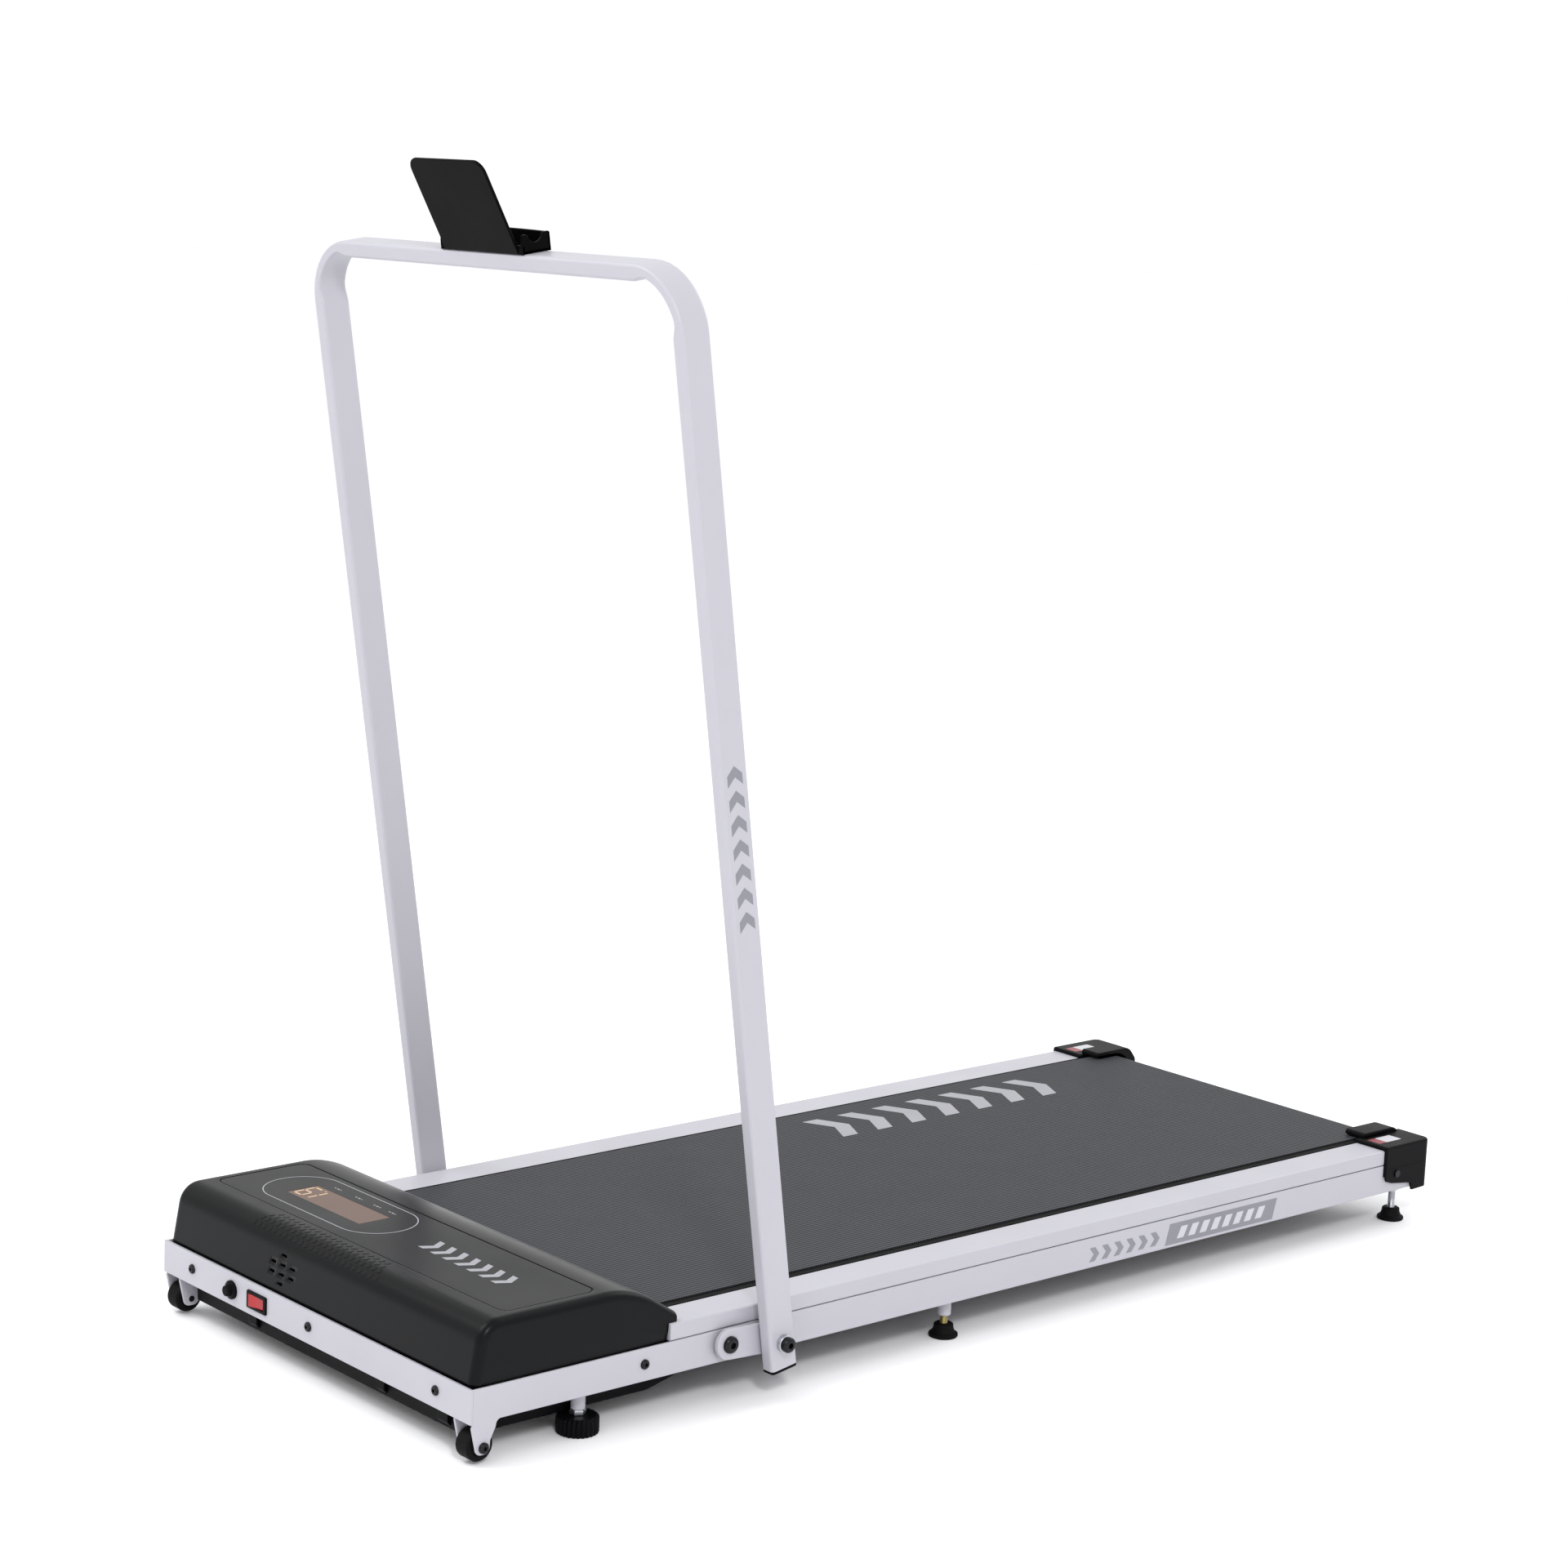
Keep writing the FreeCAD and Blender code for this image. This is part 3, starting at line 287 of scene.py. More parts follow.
def inset(outline: Array, distance: float) -> Array:
    """Closed outline moved inwards along the mitre of its neighbouring edge normals.

    Args:
        outline: points of the outline.
        distance: how far its edges move; below zero they move outwards.

    Returns:
        The moved points, as many as before.
    """
    edge = np.roll(outline, -1, 0) - outline
    edge /= np.linalg.norm(edge, axis=1, keepdims=True)
    normal = np.stack((-edge[:, 1], edge[:, 0]), axis=1)
    before = np.roll(normal, 1, 0)
    mitre = (normal + before) / np.maximum(1 + (normal * before).sum(1, keepdims=True), 0.3)
    following = np.roll(outline, -1, 0)
    area = (outline[:, 0] * following[:, 1] - following[:, 0] * outline[:, 1]).sum()
    return outline + math.copysign(distance, area) * mitre


def dense(outline: Array, step: float) -> Array:
    """Closed outline with extra points, so that none of its edges is longer than a step.

    Args:
        outline: points of the outline.
        step: longest edge.

    Returns:
        The outline with its extra points.
    """
    ring = np.vstack((outline, outline[:1]))
    length = np.concatenate(([0], np.cumsum(np.linalg.norm(np.diff(ring, axis=0), axis=1))))
    places = np.unique(np.round(np.concatenate((length, np.arange(0, length[-1], step))), 4))
    places = places[:-1][np.diff(places) > 0.05]
    return np.stack([np.interp(places, length, ring[:, k]) for k in (0, 1)], axis=1)


def slab(axis: Axis, outline: Array, low: float, high: float, edge: float = 0.6, steps: int = 3) -> Shell:
    """Outline carried along an axis, with a quarter-round edge at each end.

    At turn t the outline is moved in by edge (1 - sin t) at height edge (1 - cos t).

    Args:
        axis: direction of travel.
        outline: closed outline across that axis.
        low: start along the axis.
        high: end along the axis.
        edge: radius of the edges.
        steps: rings on each edge.

    Returns:
        The closed surface.
    """
    turn = np.linspace(0, math.pi / 2, steps + 1)
    depth = edge * (1 - np.sin(turn))
    height = edge * (1 - np.cos(turn))
    depths = np.concatenate((depth, depth[::-1]))
    levels = np.concatenate((low + height, high - height[::-1]))
    rings = np.stack([lay(axis, inset(outline, d), level) for d, level in zip(depths, levels)])
    return loft(rings)


def turned(axis: Axis, centre: Sequence[float], corners: Sequence[tuple[float, float, float]],
           segments: int = 40, steps: int = 4, flutes: int = 0, flute: float = 0.0) -> Shell:
    """Closed profile turned round an axis.

    The profile's pairs are (radius, height). With flutes, each radius is multiplied by
    1 - flute (1/2 + 1/2 cos(n a))^2, a being the angle round the axis.

    Args:
        axis: axis of revolution.
        centre: point that heights and radii are measured from.
        corners: (radius, height, rounding) of each corner of the profile.
        segments: facets round the axis.
        steps: points on each rounded corner.
        flutes: number of grooves round the outside.
        flute: depth of a groove as a share of the radius.

    Returns:
        The closed surface.
    """
    profile = rounded(corners, steps)
    angle = np.linspace(0, 2 * math.pi, segments, endpoint=False)
    scale = 1 - flute * (0.5 + 0.5 * np.cos(flutes * angle)) ** 2
    circle = np.stack((np.cos(angle) * scale, np.sin(angle) * scale), axis=-1)
    across = profile[:, 0][:, None, None] * circle[None]
    points = lay(axis, across, profile[:, 1][:, None]) + np.array(centre, float)
    return loft(points, wrapped=True)


def socket_screw(axis: Axis, centre: Sequence[float], way: float, radius: float, tall: float,
                 dome: float = 0.5, key: float = 0.42) -> Shell:
    """Screw head with a hexagonal recess.

    Rings run from the recess floor, a hexagon, up its wall and over the head to the seat. The head's
    shoulder is a quarter ellipse whose height is the dome's share of the head.

    Args:
        axis: axis of the screw.
        centre: middle of the seat.
        way: +1 or -1, the way the head points along the axis.
        radius: radius of the head.
        tall: height of the head.
        dome: share of the height that is rounded.
        key: recess size as a share of the radius.

    Returns:
        The closed surface.
    """
    angle = np.linspace(0, 2 * math.pi, 36, endpoint=False)
    circle = np.stack((np.cos(angle), np.sin(angle)), axis=-1)
    corner = (angle + math.pi / 6) % (math.pi / 3) - math.pi / 6
    hexagon = circle * (math.cos(math.pi / 6) / np.cos(corner))[:, None] * key * radius
    turn = np.linspace(math.pi / 2, 0, 6)
    shoulder = [(circle * radius * (0.55 + 0.45 * math.cos(t)), tall * (1 - dome + dome * math.sin(t)))
                for t in turn]
    stages = [(hexagon * 0.96, tall * 0.35), (hexagon, tall), (hexagon * 1.12, tall), *shoulder,
              (circle * radius, 0.0)]
    rings = np.stack([lay(axis, ring, way * height) for ring, height in stages])
    return loft(rings + np.array(centre, float))


def sweep(path: Array, side: Array, up: Array, sections: Array, wrapped: bool = False) -> Shell:
    """Section carried along a path: each ring is path + side * first + up * second.

    Args:
        path: points of the path.
        side: unit vectors of the section's first coordinate.
        up: unit vectors of the section's second coordinate.
        sections: one section for each point of the path.
        wrapped: whether the path closes.

    Returns:
        The closed surface.
    """
    rings = path[:, None] + side[:, None] * sections[..., :1] + up[:, None] * sections[..., 1:]
    return loft(rings, wrapped)


# ---------------------------------------------------------------- finishes

def linear(code: str) -> Colour:
    """Linear colour of an sRGB code: c / 12.92 when dark, else ((c + 0.055) / 1.055)^2.4.

    Args:
        code: hex colour with a leading hash.

    Returns:
        Red, green, blue and full alpha.
    """
    parts = [int(code[index:index + 2], 16) / 255 for index in (1, 3, 5)]
    values = [part / 12.92 if part <= 0.04045 else ((part + 0.055) / 1.055) ** 2.4 for part in parts]
    return (values[0], values[1], values[2], 1.0)


def add_node(tree: bpy.types.NodeTree, kind: str, sockets: dict[str | int, object] | None = None,
             **settings: str) -> bpy.types.Node:
    """Adds one shader node.

    Args:
        tree: tree that takes the node.
        kind: Blender's name of the node.
        sockets: value or source socket of each input.
        settings: the node's own properties.

    Returns:
        The new node.
    """
    made = tree.nodes.new(kind)
    for name, value in settings.items():
        setattr(made, name, value)
    for name, value in (sockets or {}).items():
        if isinstance(value, bpy.types.NodeSocket):
            tree.links.new(value, made.inputs[name])
        else:
            made.inputs[name].default_value = value
    return made


@dataclass(frozen=True)
class Finish:
    """A surface whose grain, tone and gloss wander a little, as any made surface's do."""

    name: str
    colour: str
    other: str
    roughness: float
    grain_mm: float = 1.0
    relief_mm: float = 0.02
    gloss_spread: float = 0.06
    metallic: float = 0.0
    ior: float = 1.5
    stretch: tuple[float, float, float] = (1.0, 1.0, 1.0)
    drift_mm: float = 90.0
    specular: float = 0.5

    def material(self) -> bpy.types.Material:
        """The Blender material of this finish, made once.

        Returns:
            The material, ready to use.
        """
        found = bpy.data.materials.get(self.name)
        if found:
            return found
        made = bpy.data.materials.new(self.name)
        made.use_nodes = True
        shader = made.node_tree.nodes["Principled BSDF"]
        shader.inputs["Metallic"].default_value = self.metallic
        shader.inputs["Specular IOR Level"].default_value = self.specular
        if not self.metallic:
            shader.inputs["IOR"].default_value = self.ior
        self.paint(made.node_tree, shader)
        return made

    def paint(self, tree: bpy.types.NodeTree, shader: bpy.types.Node) -> None:
        """Links the slow drift of tone and gloss, and the fine grain, to the shader.

        Args:
            tree: node tree of the material.
            shader: its surface shader.
        """
        place = add_node(tree, "ShaderNodeTexCoord").outputs["Object"]
        slow = add_node(tree, "ShaderNodeTexNoise",
                        {"Vector": place, "Scale": 1000 / self.drift_mm, "Detail": 4.0})
        tone = self.mix(tree, slow.outputs["Fac"], linear(self.colour), linear(self.other))
        tree.links.new(tone, shader.inputs["Base Color"])
        spread = add_node(tree, "ShaderNodeMapRange",
                          {"Value": slow.outputs["Fac"], "From Min": 0.3, "From Max": 0.7,
                                                       "To Min": self.roughness - self.gloss_spread,
                                                       "To Max": self.roughness + self.gloss_spread})
        tree.links.new(spread.outputs["Result"], shader.inputs["Roughness"])
        mapping = add_node(tree, "ShaderNodeMapping", {"Vector": place, "Scale": self.stretch})
        fine = add_node(tree, "ShaderNodeTexNoise", {"Vector": mapping.outputs["Vector"],
                                                     "Scale": 1000 / self.grain_mm, "Detail": 2.0})
        bump = add_node(tree, "ShaderNodeBump",
                        {"Height": fine.outputs["Fac"], "Distance": self.relief_mm * MM,
                                                 "Strength": 1.0})
        tree.links.new(bump.outputs["Normal"], shader.inputs["Normal"])

    @staticmethod
    def mix(tree: bpy.types.NodeTree, share: bpy.types.NodeSocket | float,
            first: bpy.types.NodeSocket | Colour,
            second: bpy.types.NodeSocket | Colour) -> bpy.types.NodeSocket:
        """Adds a mix of two colours.

        Args:
            tree: node tree that takes it.
            share: share of the second colour.
            first: colour or source at share 0.
            second: colour or source at share 1.

        Returns:
            The socket that gives the mixed colour.
        """
        made = tree.nodes.new("ShaderNodeMix")
        made.data_type = "RGBA"
        for socket, value in zip((made.inputs[0], made.inputs[6], made.inputs[7]), (share, first, second)):
            if isinstance(value, bpy.types.NodeSocket):
                tree.links.new(value, socket)
            else:
                socket.default_value = value
        return made.outputs[2]


@dataclass(frozen=True)
class BeltWeave(Finish):
    """Diamond-embossed PVC belt: low lozenges in rows that cross the belt on two slants.

    Height is sin(u + v) sin(u - v) on the piece's own map, so it follows the belt round the rollers. Its low
    parts are painted near black, as painted shade in the hollows.
    """

    # The lozenges are about 3 mm apart, which is too fine to show, so they are drawn coarser.
    pitch_mm: float = 5.6

    def paint(self, tree: bpy.types.NodeTree, shader: bpy.types.Node) -> None:
        """Links the lozenges to relief, and to colour as painted shade: their low parts are painted near
        black.

        Args:
            tree: node tree of the material.
            shader: its surface shader.
        """
        place = add_node(tree, "ShaderNodeUVMap", uv_map="Weave").outputs["UV"]
        axes = add_node(tree, "ShaderNodeSeparateXYZ", {"Vector": place})
        turns = 2 * math.pi / self.pitch_mm
        waves = []
        for slant in (1.0, -1.0):
            across = add_node(tree, "ShaderNodeMath", {0: axes.outputs["Y"], 1: slant * 0.62},
                              operation="MULTIPLY")
            total = add_node(tree, "ShaderNodeMath", {0: axes.outputs["X"], 1: across.outputs[0]},
                             operation="ADD")
            phase = add_node(tree, "ShaderNodeMath", {0: total.outputs[0], 1: turns}, operation="MULTIPLY")
            waves.append(add_node(tree, "ShaderNodeMath", {0: phase.outputs[0]}, operation="SINE"))
        height = add_node(tree, "ShaderNodeMath", {0: waves[0].outputs[0], 1: waves[1].outputs[0]},
                          operation="MULTIPLY")
        # Mask of the painted shade: near zero in the hollows of the relief.
        share = add_node(tree, "ShaderNodeMapRange", {"Value": height.outputs[0], "From Min": -0.45,
                                                      "From Max": 0.6}).outputs["Result"]
        noise = add_node(tree, "ShaderNodeTexNoise", {"Vector": place, "Scale": 0.02, "Detail": 5.0})
        light = self.mix(tree, noise.outputs["Fac"], linear(self.colour), linear(self.other))
        # Painted shade: the relief's low parts get the near-black colour, as if shaded, and the high parts
        # get the belt's grey.
        tone = self.mix(tree, share, linear("#08090b"), light)
        tree.links.new(tone, shader.inputs["Base Color"])
        bump = add_node(tree, "ShaderNodeBump", {"Height": height.outputs[0], "Distance": self.relief_mm * MM,
                                                 "Strength": 1.0})
        tree.links.new(bump.outputs["Normal"], shader.inputs["Normal"])
        shader.inputs["Roughness"].default_value = self.roughness


@dataclass(frozen=True)
class Fibreboard(Finish):
    """Pressed fibreboard with a black slip film on its faces: short fibres show on the cut edges."""

    film: str = "#141416"

    def paint(self, tree: bpy.types.NodeTree, shader: bpy.types.Node) -> None:
        """Links the film on faces that look up or down, and fibres elsewhere.

        Args:
            tree: node tree of the material.
            shader: its surface shader.
        """
        super().paint(tree, shader)
        fibres = shader.inputs["Base Color"].links[0].from_socket
        normal = add_node(tree, "ShaderNodeNewGeometry").outputs["Normal"]
        up = add_node(tree, "ShaderNodeSeparateXYZ", {"Vector": normal}).outputs["Z"]
        size = add_node(tree, "ShaderNodeMath", {0: up}, operation="ABSOLUTE")
        tone = self.mix(tree, size.outputs[0], fibres, linear(self.film))
        tree.links.new(tone, shader.inputs["Base Color"])


@dataclass(frozen=True)
class CircuitLaminate(Finish):
    """Solder-masked circuit board: copper tracks show as lighter square veins under green lacquer."""

    track_mm: float = 5.0

    def paint(self, tree: bpy.types.NodeTree, shader: bpy.types.Node) -> None:
        """Links tracks, drawn as the borders of square cells, to the colour.

        Args:
            tree: node tree of the material.
            shader: its surface shader.
        """
        super().paint(tree, shader)
        place = add_node(tree, "ShaderNodeTexCoord").outputs["Object"]
        cells = add_node(tree, "ShaderNodeTexVoronoi", {"Vector": place, "Scale": 1000 / self.track_mm},
                         distance="CHEBYCHEV", feature="F1")
        share = add_node(tree, "ShaderNodeMapRange", {"Value": cells.outputs["Distance"], "From Min": 0.35,
                                                      "From Max": 0.5}).outputs["Result"]
        base = shader.inputs["Base Color"].links[0].from_socket
        tree.links.new(self.mix(tree, share, base, linear("#3f7a3c")), shader.inputs["Base Color"])


# Powder coat on steel: white with a cold cast, the fine orange peel of melted powder.
WHITE_COAT = Finish("white_powder_coat", "#adacb4", "#a8a7af", 0.4, grain_mm=1.4, relief_mm=0.018,
                    gloss_spread=0.04)
# Injection-moulded ABS, lightly spark-eroded: a soft sheen that spreads along its long curves.
HOOD_ABS = Finish("moulded_black_abs", "#060709", "#08090b", 0.31, grain_mm=0.7, relief_mm=0.008,
                  gloss_spread=0.03,
                  specular=0.12)
# The same plastic with a satin face that gives back almost no light, as on the phone holder.
HOLDER_ABS = Finish("satin_black_abs", "#050506", "#070708", 0.44, grain_mm=0.8, relief_mm=0.02,
                    specular=0.035)
# The same plastic with a coarser texture, as on the caps and housings.
GRAINED_ABS = Finish("grained_black_abs", "#060608", "#09090b", 0.4, grain_mm=0.8, relief_mm=0.03,
                     specular=0.06)
# Matte vulcanised rubber.
RUBBER = Finish("vulcanised_rubber", "#090909", "#0f0f0f", 0.62, grain_mm=1.1, relief_mm=0.05,
                gloss_spread=0.08,
                specular=0.08)
# Black oxide on steel: dark, oily and half metallic.
BLACK_OXIDE = Finish("black_oxide_steel", "#1b1b1e", "#0f0f12", 0.3, grain_mm=0.5, relief_mm=0.012,
                     metallic=0.6)
# Bright zinc plate: pale metal with soft reflections.
ZINC = Finish("bright_zinc_plate", "#c9cbd0", "#b3b6bd", 0.28, grain_mm=0.5, relief_mm=0.01, metallic=1.0)
# Yellow passivated zinc: brassy with an uneven bloom.
YELLOW_ZINC = Finish("yellow_zinc_plate", "#a98d4f", "#8b8f6a", 0.36, grain_mm=0.5, relief_mm=0.012,
                     metallic=1.0,
                     drift_mm=6.0)
# Ground and turned steel: fine rings across the axis.
TURNED_STEEL = Finish("turned_steel", "#a9abb0", "#8f9197", 0.3, grain_mm=0.8, relief_mm=0.01, metallic=1.0,
                      stretch=(3.0, 0.4, 0.4))
# Machined aluminium.
ALUMINIUM = Finish("machined_aluminium", "#c4c6c9", "#aeb0b4", 0.33, grain_mm=0.6, relief_mm=0.01,
                   metallic=1.0)
# Glossy red ABS.
RED_ABS = Finish("glossy_red_abs", "#a80d14", "#950a11", 0.22, grain_mm=1.5, relief_mm=0.004,
                 gloss_spread=0.02)
# Smoked acrylic over an amber panel.
AMBER_ACRYLIC = Finish("smoked_amber_acrylic", "#4e3220", "#573824", 0.25, grain_mm=2.0, relief_mm=0.002,
                       specular=0.3)
# Screen-printed inks.
PALE_INK = Finish("pale_screen_ink", "#97979d", "#8d8d93", 0.5, grain_mm=0.6, relief_mm=0.01)
GREY_INK = Finish("grey_screen_ink", "#7e7e86", "#77777f", 0.48, grain_mm=0.6, relief_mm=0.01)
LIT_SEGMENT = Finish("lit_segment", "#c9ac8a", "#bd9f7c", 0.4, grain_mm=0.6, relief_mm=0.002)
WHITE_FILM = Finish("white_label_film", "#bcbcc2", "#b4b4ba", 0.35, grain_mm=1.0, relief_mm=0.004)
RED_FILM = Finish("red_label_film", "#84202f", "#78202c", 0.35, grain_mm=1.0, relief_mm=0.004)
WEAVE = BeltWeave("diamond_pvc_belt", "#535459", "#4b4c52", 0.55, relief_mm=0.14, specular=0.12)
BOARD = Fibreboard("film_faced_fibreboard", "#8a6b49", "#6d5237", 0.6, grain_mm=1.2, relief_mm=0.05,
                   stretch=(1.0, 0.3, 1.0))
CIRCUIT = CircuitLaminate("solder_masked_board", "#14502a", "#0f4423", 0.35, grain_mm=0.8, relief_mm=0.02)


# ---------------------------------------------------------------- pieces

def tidy_mesh(mesh: bpy.types.Mesh, closed: bool) -> None:
    """Merges doubled points, drops stray edges and turns a closed surface's faces outwards.

    Args:
        mesh: mesh that is changed.
        closed: whether its surface is closed.
    """
    work = bmesh.new()
    work.from_mesh(mesh)
    bmesh.ops.remove_doubles(work, verts=work.verts, dist=2e-6)
    stray = [edge for edge in work.edges if not edge.link_faces]
    bmesh.ops.delete(work, geom=stray, context="EDGES")
    if closed:
        bmesh.ops.recalc_face_normals(work, faces=work.faces)
    work.to_mesh(mesh)
    work.free()


def ride(piece: bpy.types.Object, finish: Finish, body: str, stands_for: Sequence[str]) -> None:
    """Dresses a piece, parents it to the empty of the body that it moves with and hides the CAD nodes that it
    stands for.

    Args:
        piece: finished object.
        finish: what it is made of.
        body: body that it moves with.
        stands_for: CAD nodes that it is shown for.
    """
    piece.data.materials.clear()
    piece.data.materials.append(finish.material())
    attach(piece, body)
    if stands_for:
        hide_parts(*stands_for)
    LOG.info("%s rides on %s", piece.name, body)


def make_piece(name: str, shell: Shell, finish: Finish, body: Body | str,
               stands_for: Sequence[str] = (), crease: float = 38.0, closed: bool = True,
               weave: Array | None = None) -> bpy.types.Object:
    """Makes one visible piece.

    Args:
        name: name of the piece.
        shell: its surface in millimetres.
        finish: what it is made of.
        body: body that it moves with.
        stands_for: CAD nodes that it is shown for.
        crease: angle in degrees past which an edge stays sharp.
        closed: whether the surface is closed.
        weave: map coordinates of each corner of each quad, if the finish follows the surface.

    Returns:
        The new object.
    """
    mesh = bpy.data.meshes.new(name)
    mesh.from_pydata((shell.points * MM).tolist(), [], shell.quads.tolist() + shell.caps)
    if weave is None:
        tidy_mesh(mesh, closed)
    else:
        layer = mesh.uv_layers.new(name="Weave")
        layer.data.foreach_set("uv", weave.astype(np.float32).ravel())
    mesh.polygons.foreach_set("use_smooth", np.ones(len(mesh.polygons), dtype=bool))
    mesh.set_sharp_from_angle(angle=math.radians(crease))
    piece = bpy.data.objects.new(name, mesh)
    bpy.context.scene.collection.objects.link(piece)
    even = piece.modifiers.new("even_normals", "WEIGHTED_NORMAL")
    even.keep_sharp = True
    ride(piece, finish, body.value if isinstance(body, Body) else body, stands_for)
    return piece


def soften(node: str, finish: Finish, body: Body | str, width: float) -> bpy.types.Object:
    """Makes a copy of a CAD node with its edges rounded, to be shown in its place.

    Args:
        node: CAD node.
        finish: what it is made of.
        body: body that it moves with.
        width: width of the rounding in millimetres.

    Returns:
        The new object.
    """
    mesh = frame["nodes"][node].data.copy()
    work = bmesh.new()
    work.from_mesh(mesh)
    bmesh.ops.remove_doubles(work, verts=work.verts, dist=2e-6)
    bmesh.ops.dissolve_limit(work, angle_limit=math.radians(1.0), verts=work.verts, edges=work.edges)
    work.to_mesh(mesh)
    work.free()
    mesh.polygons.foreach_set("use_smooth", np.ones(len(mesh.polygons), dtype=bool))
    mesh.set_sharp_from_angle(angle=math.radians(35))
    piece = bpy.data.objects.new(f"{node}_rounded", mesh)
    bpy.context.scene.collection.objects.link(piece)
    bevel = piece.modifiers.new("edges", "BEVEL")
    bevel.width = width * MM
    bevel.segments = 2
    bevel.limit_method = "ANGLE"
    bevel.angle_limit = math.radians(40)
    even = piece.modifiers.new("even_normals", "WEIGHTED_NORMAL")
    even.keep_sharp = False
    ride(piece, finish, body.value if isinstance(body, Body) else body, [node])
    return piece


def dress(node: str, finish: Finish) -> None:
    """Gives a CAD node that stays in sight its finish, through its own material slots.

    Args:
        node: CAD node.
        finish: what it is made of.
    """
    shown = frame["nodes"][node]
    shown.data.materials.clear()
    shown.data.materials.append(finish.material())
    LOG.info("%s dressed", node)


def behind(outline: Array) -> Array:
    """Outline of (distance behind the front plate, height) as (world y, height)."""
    return outline + np.array([FRONT, 0.0])


def profile(*corners: tuple[float, float, float], steps: int = 6) -> Array:
    """Rounded closed outline in the plane across X, measured behind the front plate."""
    return behind(rounded(corners, steps))


# ---------------------------------------------------------------- frame

@dataclass
class SteelFrame:
    """Front plate, side beams with their wheel ears, cross members and foot rails."""

    sheet: float = SHEET
    beam_end: float = 1262.0
    flange: float = 218.0
    edge: float = 0.9

    def beam(self, side: Side) -> Shell:
        """L-section beam with the outer ear in its web, an inner ear, an anchor and foot sleeves.

        Args:
            side: side of the machine.

        Returns:
            The beam's closed surfaces.
        """
        way = side.value
        outer = HALF
        web = profile((2.5, BEAM_TOP - 0.15, 0), (2.5, 38, 0), (1.5, 37, 3), (7.5, 10.5, 6.3),
                      (21.4, 10.5, 6.3),
                      (21.8, 22, 2), (27.2, 33, 4), (28.5, BEAM_LOW, 5), (self.beam_end, BEAM_LOW, 1),
                      (self.beam_end, BEAM_TOP - 0.15, 1))
        ear = profile((2.5, 46, 1), (1.5, 37, 3), (7.5, 10.5, 6.3), (21.4, 10.5, 6.3), (27.2, 33, 4),
                      (28.5, 46, 1))
        span = sorted((way * (outer - self.sheet), way * outer))
        inner = sorted((way * 221.5, way * 224.0))
        parts = [slab(Axis.X, web, *span, self.edge), slab(Axis.X, ear, *inner, 0.6)]
        low_x, high_x = sorted((way * self.flange, way * (outer - 1.2)))
        parts.append(slab(Axis.Z, rectangle((low_x, back(2.5)), (high_x, back(self.beam_end)), 0.8),
                          BEAM_LOW, BEAM_LOW + self.sheet, 0.7))
        parts.append(slab(Axis.Y, rectangle((low_x, BEAM_LOW + 1), (high_x, 80), 1.0), back(1204),
                          back(1210), 0.5))
        saddle = rectangle((min(way * 222, way * 242), BEAM_LOW + 1), (max(way * 222, way * 242), 58.8), 1.0)
        parts.append(slab(Axis.Y, saddle, back(157), back(173), 0.5))
        for spot, low in ((131, 21.5), (574, 21.5), (1245, 33.0)):
            rim = [(4.1, low, 0.3), (6.5, low, 0.8), (6.5, BEAM_LOW + 0.4, 0), (4.1, BEAM_LOW + 0.4, 0)]
            parts.append(turned(Axis.Z, (way * FOOT_X, back(spot), 0), rim, 36))
        return joined(parts)

    def build(self) -> None:
        """Makes the beams, plate, members and rails, and the black strips of painted shade beside the belt.
        """
        for side in Side:
            way = side.value
            make_piece(f"beam_{side.tag}", self.beam(side), WHITE_COAT, Body.FRAME,
                       [f"side_beam_{side.tag}"])
            low_x, high_x = sorted((way * 208.2, way * HALF))
            rail = rectangle((low_x, BEAM_TOP + 0.25), (high_x, 87.2), 2.0)
            make_piece(f"rail_{side.tag}", slab(Axis.Y, rail, back(217), back(1203), 0.5), WHITE_COAT,
                       Body.FRAME,
                       [f"foot_rail_{side.tag}"])
            # Painted shade: a black strip fills the gap between the belt and the rail, standing in for the
            # shade down in that gap.
            low_x, high_x = sorted((way * 200.4, way * 208.3))
            strip = rectangle((low_x, 79.0), (high_x, 87.5), 0.5)
            make_piece(f"belt_gap_strip_{side.tag}", slab(Axis.Y, strip, back(217), back(1209), 0.4), RUBBER,
                       Body.FRAME)
        soften("front_plate", WHITE_COAT, Body.FRAME, 0.7)
        soften("cross_members", WHITE_COAT, Body.FRAME, 0.5)


# ---------------------------------------------------------------- hood

